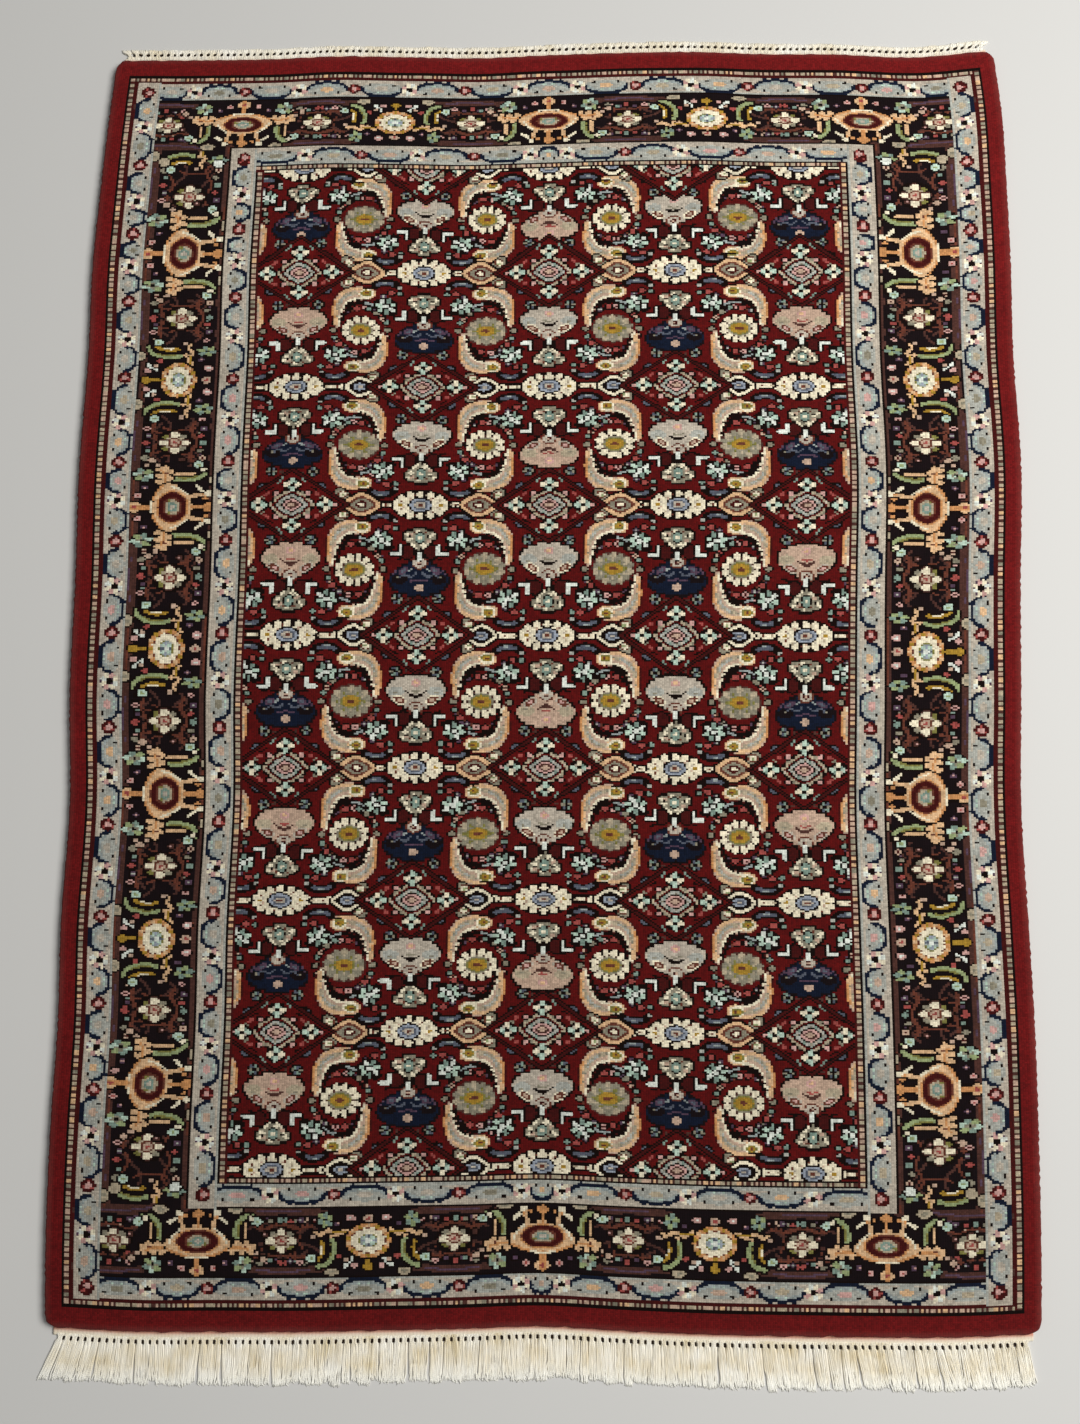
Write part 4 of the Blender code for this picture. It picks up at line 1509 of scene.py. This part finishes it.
def wool_material():
    """Dyed wool whose knots take their colours from the pile's attributes."""
    material, tree = new_material("dyed_handspun_wool")
    place = add_node(tree, "UVMap", uv_map="knots").outputs["UV"]
    point = add_node(tree, "TexCoord").outputs["Object"]
    knot = add_node(tree, "VectorMath", {0: place}, operation="FLOOR").outputs[0]
    row = add_node(tree, "SeparateXYZ", {0: knot}).outputs["Y"]
    each = add_node(tree, "TexWhiteNoise", {"Vector": knot}, noise_dimensions="2D").outputs["Value"]
    fibres = add_node(tree, "TexNoise", {"Vector": point},
                      {"Scale": 1 / (FIBRE_MM * MM), "Detail": 2.0}).outputs["Fac"]
    batch = add_node(tree, "TexNoise", {"W": row}, {"Scale": BATCH_SCALE, "Detail": 3.0},
                     noise_dimensions="1D").outputs["Fac"]
    patch = add_node(tree, "TexNoise", {"Vector": point},
                     {"Scale": 1 / (PATCH_MM * MM), "Detail": 3.0}).outputs["Fac"]
    mottle = add_node(tree, "TexNoise", {"Vector": point},
                      {"Scale": 1 / (MOTTLE_MM * MM), "Detail": 2.0}).outputs["Fac"]
    # Painted shade and light: brightness falls from the far right towards the near left.
    painted_light_falloff = add_node(tree, "Attribute", attribute_name="painted_light_falloff").outputs["Fac"]
    falloff_factor = add_node(tree, "Math", {0: painted_light_falloff}, {1: FALLOFF_SPAN, 2: FALLOFF_FLOOR},
                      operation="MULTIPLY_ADD").outputs[0]
    brightness = times(tree, tone(tree, each, KNOT_TONE), tone(tree, batch, BATCH_TONE), falloff_factor,
                       tone(tree, patch, PATCH_TONE), tone(tree, mottle, MOTTLE_TONE),
                       tone(tree, fibres, FIBRE_TONE))
    dye = add_node(tree, "VectorMath", {0: knot_dye(tree, place, fibres), "Scale": brightness},
                   operation="SCALE").outputs[0]
    wear = add_node(tree, "Attribute", attribute_name="wear").outputs["Fac"]
    worn = times(tree, wear, patch)
    colour = add_node(tree, "Mix", {0: worn, 6: dye}, {7: linear(WORN_WOOL)}, data_type="RGBA").outputs[2]
    inside = add_node(tree, "VectorMath", {0: place}, operation="FRACTION").outputs[0]
    off_middle = add_node(tree, "VectorMath", {0: inside}, {1: (0.5, 0.5, 0)},
                          operation="SUBTRACT").outputs[0]
    far = add_node(tree, "VectorMath", {0: off_middle}, operation="LENGTH").outputs["Value"]
    dome = add_node(tree, "Math", {0: far, 2: each}, {1: -DOME_DEPTH}, operation="MULTIPLY_ADD").outputs[0]
    height = add_node(tree, "Math", {0: fibres, 2: dome}, {1: FIBRE_DEPTH},
                      operation="MULTIPLY_ADD").outputs[0]
    bump = add_node(tree, "Bump", {"Height": height},
                    {"Strength": PILE_BUMP_STRENGTH, "Distance": PILE_BUMP_MM * MM})
    rough = add_node(tree, "Math", {0: each}, {1: 0.1, 2: WOOL_ROUGH}, operation="MULTIPLY_ADD").outputs[0]
    shader = add_node(tree, "BsdfPrincipled",
                      {"Base Color": colour, "Roughness": rough, "Normal": bump.outputs[0]},
                      {"IOR": WOOL_IOR, "Specular IOR Level": WOOL_GLOSS, "Sheen Weight": WOOL_SHEEN,
                       "Sheen Roughness": 0.5})
    add_node(tree, "OutputMaterial", {"Surface": shader.outputs[0]})
    return material


pile.data.materials.append(wool_material())
print("wool:", len(pile.data.materials[0].node_tree.nodes), "nodes, knots of", round(KNOT_WIDE, 2), "mm")

# %% [markdown]
# ## The flat-woven ends
# Before the first row of knots and after the last, the weaver puts in a few rows of plain
# cotton weft. They keep the pile from working loose. At the near end 10 mm of this web shows,
# at the far end 7 mm. Each strip is a thin solid that runs a little way under the pile. A loop
# of points is swept across the rug, and its top is ribbed where the weft goes over the warps.

# %% Web strips at both ends
WEB_INSET = 9
WEB_UNDER = 8
NEAR_WEB = 10
WARP_MM = 4.5
RIB_HIGH = 0.18
BLED_MM = 4
# (part of the way from under the pile to the web's edge, height)
WEB_PROFILE = ((0.0, 0.3), (0.0, 1.9), (0.35, 2.5), (0.55, 2.4), (0.72, 2.55), (0.88, 2.4), (0.97, 1.9),
               (1.0, 1.1), (0.96, 0.3))


def sweep_loops(x, loops, heights):
    """Points and faces of a closed loop swept across the rug. Every array has a row per loop."""
    count, around = x.shape
    number = np.arange(count * around).reshape(count, around)
    ahead = np.roll(number, -1, axis=1)
    faces = np.stack([number[:-1], ahead[:-1], ahead[1:], number[1:]], -1).reshape(-1, 4)
    points = np.stack([x.ravel(), loops.ravel(), heights.ravel()], -1)
    return points, faces, [number[0][::-1], number[-1]]


def cross_strip(end, inner, outer, profile, rib, inset=WEB_INSET):
    """Closed strip along one end of the rug, between two distances from its middle."""
    part, height = np.array(profile).T
    across = np.arange(-HALF_WIDE + inset, HALF_WIDE - inset + 1, WARP_MM / 3)
    x = np.repeat(across[:, None], len(part), axis=1)
    y = end * (inner + part * (outer - inner))[None, :].repeat(len(across), 0)
    edge = 0.5 * soft_waves(x, y * 0, 14, 21 + end) * (part > 0.8)
    ribs = rib * np.cos(x / WARP_MM * 2 * math.pi) * (height > 1.5)
    real_x, real_y = out_of_true(x, y + end * edge)
    points, faces, caps = sweep_loops(real_x, real_y, height + ribs)
    if end < 0:
        faces, caps = faces[:, ::-1], [cap[::-1] for cap in caps]
    return points, faces, caps, x.ravel(), y.ravel()


def join_parts(parts):
    """One set of points, faces and caps from several."""
    points, faces, caps, start = [], [], [], 0
    for part_points, part_faces, part_caps in parts:
        points.append(part_points)
        faces.append(part_faces + start)
        caps += [np.asarray(cap) + start for cap in part_caps]
        start += len(part_points)
    return np.concatenate(points), np.concatenate(faces), caps


strips = [cross_strip(-1, HALF_LONG - WEB_UNDER, HALF_LONG + NEAR_WEB, WEB_PROFILE, RIB_HIGH),
          cross_strip(1, HALF_LONG - WEB_UNDER, HALF_LONG + FAR_WEB, WEB_PROFILE, RIB_HIGH)]
points, faces, caps = join_parts([strip[:3] for strip in strips])
web = make_mesh("rug_web", to_frame(points[:, 0], points[:, 1], points[:, 2]), faces, caps)
strip_x = np.concatenate([strip[3] for strip in strips])
strip_y = np.concatenate([strip[4] for strip in strips])
store_map(web.data, "weave", strip_x, strip_y)
store_number(web.data, "bled", np.clip(1.5 - (abs(strip_y) - HALF_LONG) / BLED_MM, 0, 1))
print("web:", len(web.data.polygons), "faces, one rib for each warp pair of", WARP_MM, "mm")

# %% [markdown]
# ## Undyed cotton
# The web and the fringe are undyed cotton, plied and so slightly glossier than the wool, but
# still rough: 0.8, with an IOR of 1.53, that of cellulose. It is cream, and yellower and greyer
# where it has aged. In the web, the weft crosses it in ribs of 1.1 mm, with painted shade
# between the ribs. In the fringe, each strand shows the slanting turns of its plies, one every
# 2.4 mm, drawn coarser than the real 1 mm, with painted shade between the turns. It is lightest
# where it opens beyond 34 mm from its root, partly because open cotton is paler and partly as a
# painted highlight on the thin tips. Where the first red knots begin, madder has bled into the
# web in an uneven line.

# %% Cotton materials
COTTON_ROUGH = 0.80
COTTON_IOR = 1.53
COTTON_SHEEN = 0.12
COTTON_LIGHT = "#FFFAEC"
COTTON_DARK = "#E6D5AC"
COTTON_OPEN_LIT = "#FFFCF0"
COTTON_BLED = "#D8937A"
WEB_AGE_MM = 20
WEB_SLUBS_PER_MM = 0.9
WEFT_SHADE_TONE = 0.22
BLED_TONE = 0.8
STRAND_AGE_PER_M = 30
STRAND_TONE = 0.9
PLY_SHADE_TONE = 0.16
OPEN_END_MM = 34
OPENING_MM = 20
WEFT_MM = 1.1
PLY_MM = 2.4
WEB_BUMP_MM = 0.5
STRAND_BUMP_MM = 0.3
COTTON_BUMP_STRENGTH = 0.6


def cotton_shader(tree, colour, height, bump_mm):
    """Shader and output that both cotton materials end with."""
    bump = add_node(tree, "Bump", {"Height": height},
                    {"Strength": COTTON_BUMP_STRENGTH, "Distance": bump_mm * MM})
    shader = add_node(tree, "BsdfPrincipled", {"Base Color": colour, "Normal": bump.outputs[0]},
                      {"Roughness": COTTON_ROUGH, "IOR": COTTON_IOR, "Sheen Weight": COTTON_SHEEN})
    add_node(tree, "OutputMaterial", {"Surface": shader.outputs[0]})


def ripple(tree, socket, length):
    """Sine from 0 to 1 that comes back after a length in the socket's unit."""
    turn = add_node(tree, "Math", {0: socket}, {1: 2 * math.pi / length}, operation="MULTIPLY").outputs[0]
    wave = add_node(tree, "Math", {0: turn}, operation="SINE").outputs[0]
    return add_node(tree, "Math", {0: wave}, {1: 0.5, 2: 0.5}, operation="MULTIPLY_ADD").outputs[0]


def web_material():
    """Weft-faced plain weave of undyed cotton."""
    material, tree = new_material("undyed_cotton_weft")
    place = add_node(tree, "UVMap", uv_map="weave").outputs["UV"]
    axes = add_node(tree, "SeparateXYZ", {0: place})
    weft = ripple(tree, axes.outputs["Y"], WEFT_MM)
    warp = ripple(tree, axes.outputs["X"], WARP_MM)
    age = add_node(tree, "TexNoise", {"Vector": place},
                   {"Scale": 1 / WEB_AGE_MM, "Detail": 4.0}).outputs["Fac"]
    slub = add_node(tree, "TexNoise", {"Vector": place},
                    {"Scale": WEB_SLUBS_PER_MM, "Detail": 2.0}).outputs["Fac"]
    height = add_node(tree, "Math", {0: weft, 1: warp, 2: slub}, operation="MULTIPLY_ADD").outputs[0]
    colour = add_node(tree, "Mix", {0: age}, {6: linear(COTTON_LIGHT), 7: linear(COTTON_DARK)},
                      data_type="RGBA").outputs[2]
    # Painted shade: the colour is darker in the grooves between the weft ribs, following the bump.
    shaded = add_node(tree, "VectorMath", {0: colour, "Scale": tone(tree, weft, WEFT_SHADE_TONE)},
                      operation="SCALE").outputs[0]
    bled = add_node(tree, "Attribute", attribute_name="bled").outputs["Fac"]
    amount = times(tree, bled, tone(tree, slub, BLED_TONE))
    stained = add_node(tree, "Mix", {0: amount, 6: shaded}, {7: linear(COTTON_BLED)},
                       data_type="RGBA").outputs[2]
    cotton_shader(tree, stained, height, WEB_BUMP_MM)
    return material


def fringe_material():
    """Plied strands of undyed cotton, each a little lighter or darker than the next."""
    material, tree = new_material("undyed_cotton_strands")
    axes = add_node(tree, "SeparateXYZ", {0: add_node(tree, "UVMap", uv_map="ply").outputs["UV"]})
    turned = add_node(tree, "Math", {0: axes.outputs["X"], 2: axes.outputs["Y"]}, {1: PLY_MM},
                      operation="MULTIPLY_ADD").outputs[0]
    plies = ripple(tree, turned, PLY_MM)
    shade = add_node(tree, "Attribute", attribute_name="shade").outputs["Fac"]
    point = add_node(tree, "TexCoord").outputs["Object"]
    age = add_node(tree, "TexNoise", {"Vector": point},
                   {"Scale": STRAND_AGE_PER_M, "Detail": 3.0}).outputs["Fac"]
    aged = add_node(tree, "MapRange", {"Value": age}, {"From Min": 0.30, "From Max": 0.80}).outputs[0]
    mixed = times(tree, tone(tree, shade, STRAND_TONE), aged)
    toned = add_node(tree, "Mix", {0: mixed}, {6: linear(COTTON_LIGHT), 7: linear(COTTON_DARK)},
                     data_type="RGBA").outputs[2]
    # Lighter open ends: open cotton is paler, and this is also a painted highlight on the thin tips.
    lit_open_end = add_node(tree, "MapRange", {"Value": axes.outputs["Y"]},
                        {"From Min": OPEN_END_MM, "From Max": OPEN_END_MM + OPENING_MM}).outputs[0]
    colour = add_node(tree, "Mix", {0: lit_open_end, 6: toned}, {7: linear(COTTON_OPEN_LIT)},
                      data_type="RGBA").outputs[2]
    # Painted shade: the colour is darker in the grooves between the turns of the plies.
    shaded = add_node(tree, "VectorMath", {0: colour, "Scale": tone(tree, plies, PLY_SHADE_TONE)},
                      operation="SCALE").outputs[0]
    cotton_shader(tree, shaded, plies, STRAND_BUMP_MM)
    return material


web.data.materials.append(web_material())
cotton_strands = fringe_material()
print("cotton IOR", COTTON_IOR, "- web and strands ready")

# %% [markdown]
# ## The knotted fringe
# The cotton warps run on past the web. Bundles of them are tied with an overhand knot against
# the web's edge, so the rows cannot slip, and small dark gaps stay open between the knots. At
# the near end 135 tassels reach 53 mm beyond the web, and fan out at both corners. At the far end
# 127 tassels are trimmed to stubs, and are whiter. Each strand is a thin four-sided tube through
# a few stations. A table gives, for each station, how wide and how high its bundle is there, and
# how thick a strand. The strands lie in two layers, thick ones below and thin ones on top, and
# each tassel and strand misses the common length and direction by a little.

# %% Strands of a fringe
FRINGE_INSET = 14
STRAND_SIDES = 4
UPPER_STRAND = 0.8
LOWER_STRAND = 1.5
# (beyond the web's edge, half width of the bundle, height of its middle, radius of a strand)
NEAR_STATIONS = np.array([
    (-2.5, 4.2, 1.4, 0.9), (0.0, 4.0, 1.7, 0.85), (1.2, 2.2, 1.9, 0.6), (5.4, 2.1, 1.9, 0.6),
    (7.0, 3.4, 1.8, 0.8), (14, 3.8, 1.5, 0.8), (30, 4.2, 1.3, 0.78), (43, 4.6, 1.1, 0.75),
    (50.5, 4.9, 0.8, 0.6), (53, 5.0, 0.35, 0.25),
])
FAR_STATIONS = np.array([
    (-2.5, 4.6, 1.5, 1.0), (2.2, 4.4, 1.7, 1.0), (3.6, 1.8, 2.0, 0.65), (7.4, 1.8, 2.0, 0.65),
    (8.8, 4.5, 1.8, 1.0), (11, 4.8, 1.6, 0.95), (13.0, 4.9, 1.2, 0.75), (14, 4.9, 0.6, 0.3),
])
# (across the rug, tip of near tassel to the right of its knot, tip of far tassel)
TIP_SPLAY = np.array([
    (-610, -24, -14), (-580, -15, -3), (-540, -7, 0), (-400, -2, 0), (0, 0, 0),
    (300, 5, 1), (450, 9, 2), (560, 8, 4), (610, 6, 9),
], float)


def strand_paths(tassels, per_tassel, stations, end, root, splay_column, loose, seed):
    """Middle line and radius of every strand, one row for each strand and column for each station."""
    chance = np.random.default_rng(seed)
    half = HALF_WIDE - FRINGE_INSET
    pitch = 2 * half / tassels
    tassel_x = np.repeat((np.arange(tassels) + 0.5) * pitch - half, per_tassel)
    slot = np.tile(np.linspace(-1, 1, per_tassel), tassels) + chance.normal(0, 0.08, tassels * per_tassel)
    layer = np.tile(np.arange(per_tassel) % 2, tassels)
    beyond, width, middle, radius = stations.T
    reach_part = np.clip(beyond / beyond[-1], 0, 1)
    lean = read_table(TIP_SPLAY, splay_column, tassel_x)
    lean = lean + np.repeat(chance.normal(0, loose, tassels), per_tassel)
    longer = np.repeat(chance.normal(0, loose * 0.5, tassels), per_tassel)
    longer = longer + chance.normal(0, loose * 0.32, len(slot))
    wander = chance.normal(0, loose * 0.45, (len(slot), len(beyond))) * reach_part ** 1.5
    x = tassel_x[:, None] + slot[:, None] * width + lean[:, None] * reach_part ** 1.1 + wander
    y = end * (root + beyond + longer[:, None] * reach_part ** 2)
    real_x, real_y = out_of_true(x, y)
    up = middle + (layer[:, None] - 0.5) * np.minimum(1.5, middle) + chance.normal(0, 0.12, x.shape)
    radii = radius * np.where(layer, UPPER_STRAND, LOWER_STRAND)[:, None]
    return real_x, real_y, np.maximum(up, radii + 0.05), radii, chance


def strand_tubes(x, y, z, radius, per_tassel, chance):
    """Points, faces and caps of thin tubes, with their ply map and shade."""
    strands, stations = x.shape
    along_x, along_y = np.gradient(x, axis=1), np.gradient(y, axis=1)
    length = np.hypot(along_x, along_y)
    side_x, side_y = along_y / length, -along_x / length
    start = chance.uniform(0, 2 * math.pi, strands)
    angle = start[:, None] + np.arange(STRAND_SIDES) * 2 * math.pi / STRAND_SIDES
    out, up = np.cos(angle)[:, None, :], np.sin(angle)[:, None, :]
    r = radius[:, :, None]
    round_x = x[:, :, None] + side_x[:, :, None] * out * r
    round_y = y[:, :, None] + side_y[:, :, None] * out * r
    round_z = np.broadcast_to(z[:, :, None] + up * r, (strands, stations, STRAND_SIDES))
    points = np.stack([round_x, round_y, round_z], -1)
    number = np.arange(points[..., 0].size).reshape(strands, stations, STRAND_SIDES)
    ahead = np.roll(number, -1, axis=2)
    faces = np.stack([number[:, :-1], number[:, 1:], ahead[:, 1:], ahead[:, :-1]], -1).reshape(-1, 4)
    caps = np.concatenate([number[:, 0], number[:, -1, ::-1]])
    run = np.cumsum(np.hypot(np.diff(x), np.diff(y)), axis=1)
    run = np.concatenate([np.zeros((strands, 1)), run], axis=1)
    ply_u = np.broadcast_to(np.arange(STRAND_SIDES) / STRAND_SIDES, number.shape).ravel()
    ply_v = np.broadcast_to(run[:, :, None], number.shape).ravel()
    shades = 0.6 * chance.uniform(0, 1, strands)
    shades = shades + 0.4 * chance.uniform(0, 1, strands // per_tassel).repeat(per_tassel)
    shade = np.broadcast_to(shades[:, None, None], number.shape).ravel()
    return points.reshape(-1, 3), np.concatenate([faces, caps]), ply_u, ply_v, shade


def add_fringe(name, tassels, per_tassel, stations, end, root, splay_column, loose, seed, lighten):
    """All strands of one fringe as one mesh. The last argument, from 0 to 1, makes the strands lighter: 0
    leaves their shades as they are, 1 makes them all the lightest cotton.
    """
    x, y, z, radius, chance = strand_paths(tassels, per_tassel, stations, end, root, splay_column, loose,
                                           seed)
    points, faces, ply_u, ply_v, shade = strand_tubes(x, y, z, radius, per_tassel, chance)
    fringe = make_mesh(name, to_frame(points[:, 0], points[:, 1], points[:, 2]), faces)
    store_map(fringe.data, "ply", ply_u, ply_v)
    store_number(fringe.data, "shade", (1 - lighten) * shade)
    fringe.data.materials.append(cotton_strands)
    print(name, "has", len(x), "strands and", 2 * len(faces), "triangles")
    return fringe


near_fringe = add_fringe("near_fringe", 135, 15, NEAR_STATIONS, -1, HALF_LONG + NEAR_WEB, 1, 2.8, 31, 0)
far_fringe = add_fringe("far_fringe", 127, 11, FAR_STATIONS, 1, HALF_LONG + FAR_WEB, 2, 0.9, 32, 0.6)

# %% [markdown]
# Through the gaps between the knots one sees something nearly black: the shade deep in the
# gaps. A flat dark strip at each end, under the knots and as wide as the gaps are long, is
# painted shade that gives every gap its dark bottom.

# %% Painted shade under the knots
GAP_SHADE_PROFILE = ((0.0, 0.1), (0.0, 0.5), (0.5, 0.7), (1.0, 0.5), (1.0, 0.1))
# Nearly black colour of the painted shade seen through the gaps between the knots.
GAP_SHADE_COLOUR = "#2A1D14"
NEAR_GAP_SHADE = (HALF_LONG + NEAR_WEB - 0.5, HALF_LONG + NEAR_WEB + 6.2)
FAR_GAP_SHADE = (HALF_LONG + FAR_WEB + 2.4, HALF_LONG + FAR_WEB + 8.4)
GAP_SHADE_INSET = 20
# One flat strip of painted shade under each row of fringe knots.
gap_shade_strips = [cross_strip(-1, *NEAR_GAP_SHADE, GAP_SHADE_PROFILE, 0, GAP_SHADE_INSET),
           cross_strip(1, *FAR_GAP_SHADE, GAP_SHADE_PROFILE, 0, GAP_SHADE_INSET)]
points, faces, caps = join_parts([gap_shade_strip[:3] for gap_shade_strip in gap_shade_strips])
gap_shade_strip = make_mesh("painted_gap_shade_strip", to_frame(points[:, 0], points[:, 1], points[:, 2]), faces, caps)
gap_shade_material, tree = new_material("painted_gap_shade_material")
shader = add_node(tree, "BsdfPrincipled",
                  values={"Base Color": linear(GAP_SHADE_COLOUR), "Roughness": COTTON_ROUGH,
                          "IOR": COTTON_IOR, "Specular IOR Level": 0.2})
add_node(tree, "OutputMaterial", links={"Surface": shader.outputs[0]})
gap_shade_strip.data.materials.append(gap_shade_material)
print("dark thread:", len(gap_shade_strip.data.polygons), "faces")

# %% [markdown]
# ## What every piece stands for
# A table lists each piece with the record's slot that its finish belongs to. Each piece rides
# on the one body of the model, and the CAD solids that the pieces stand for are hidden.

SLOTS = ((pile, "rug"), (web, "fringe"), (near_fringe, "fringe"), (far_fringe, "fringe"), (gap_shade_strip, "fringe"))
for piece, slot in SLOTS:
    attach(piece, "root")
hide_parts("rug")
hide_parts("fringe_near")
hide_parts("fringe_far")
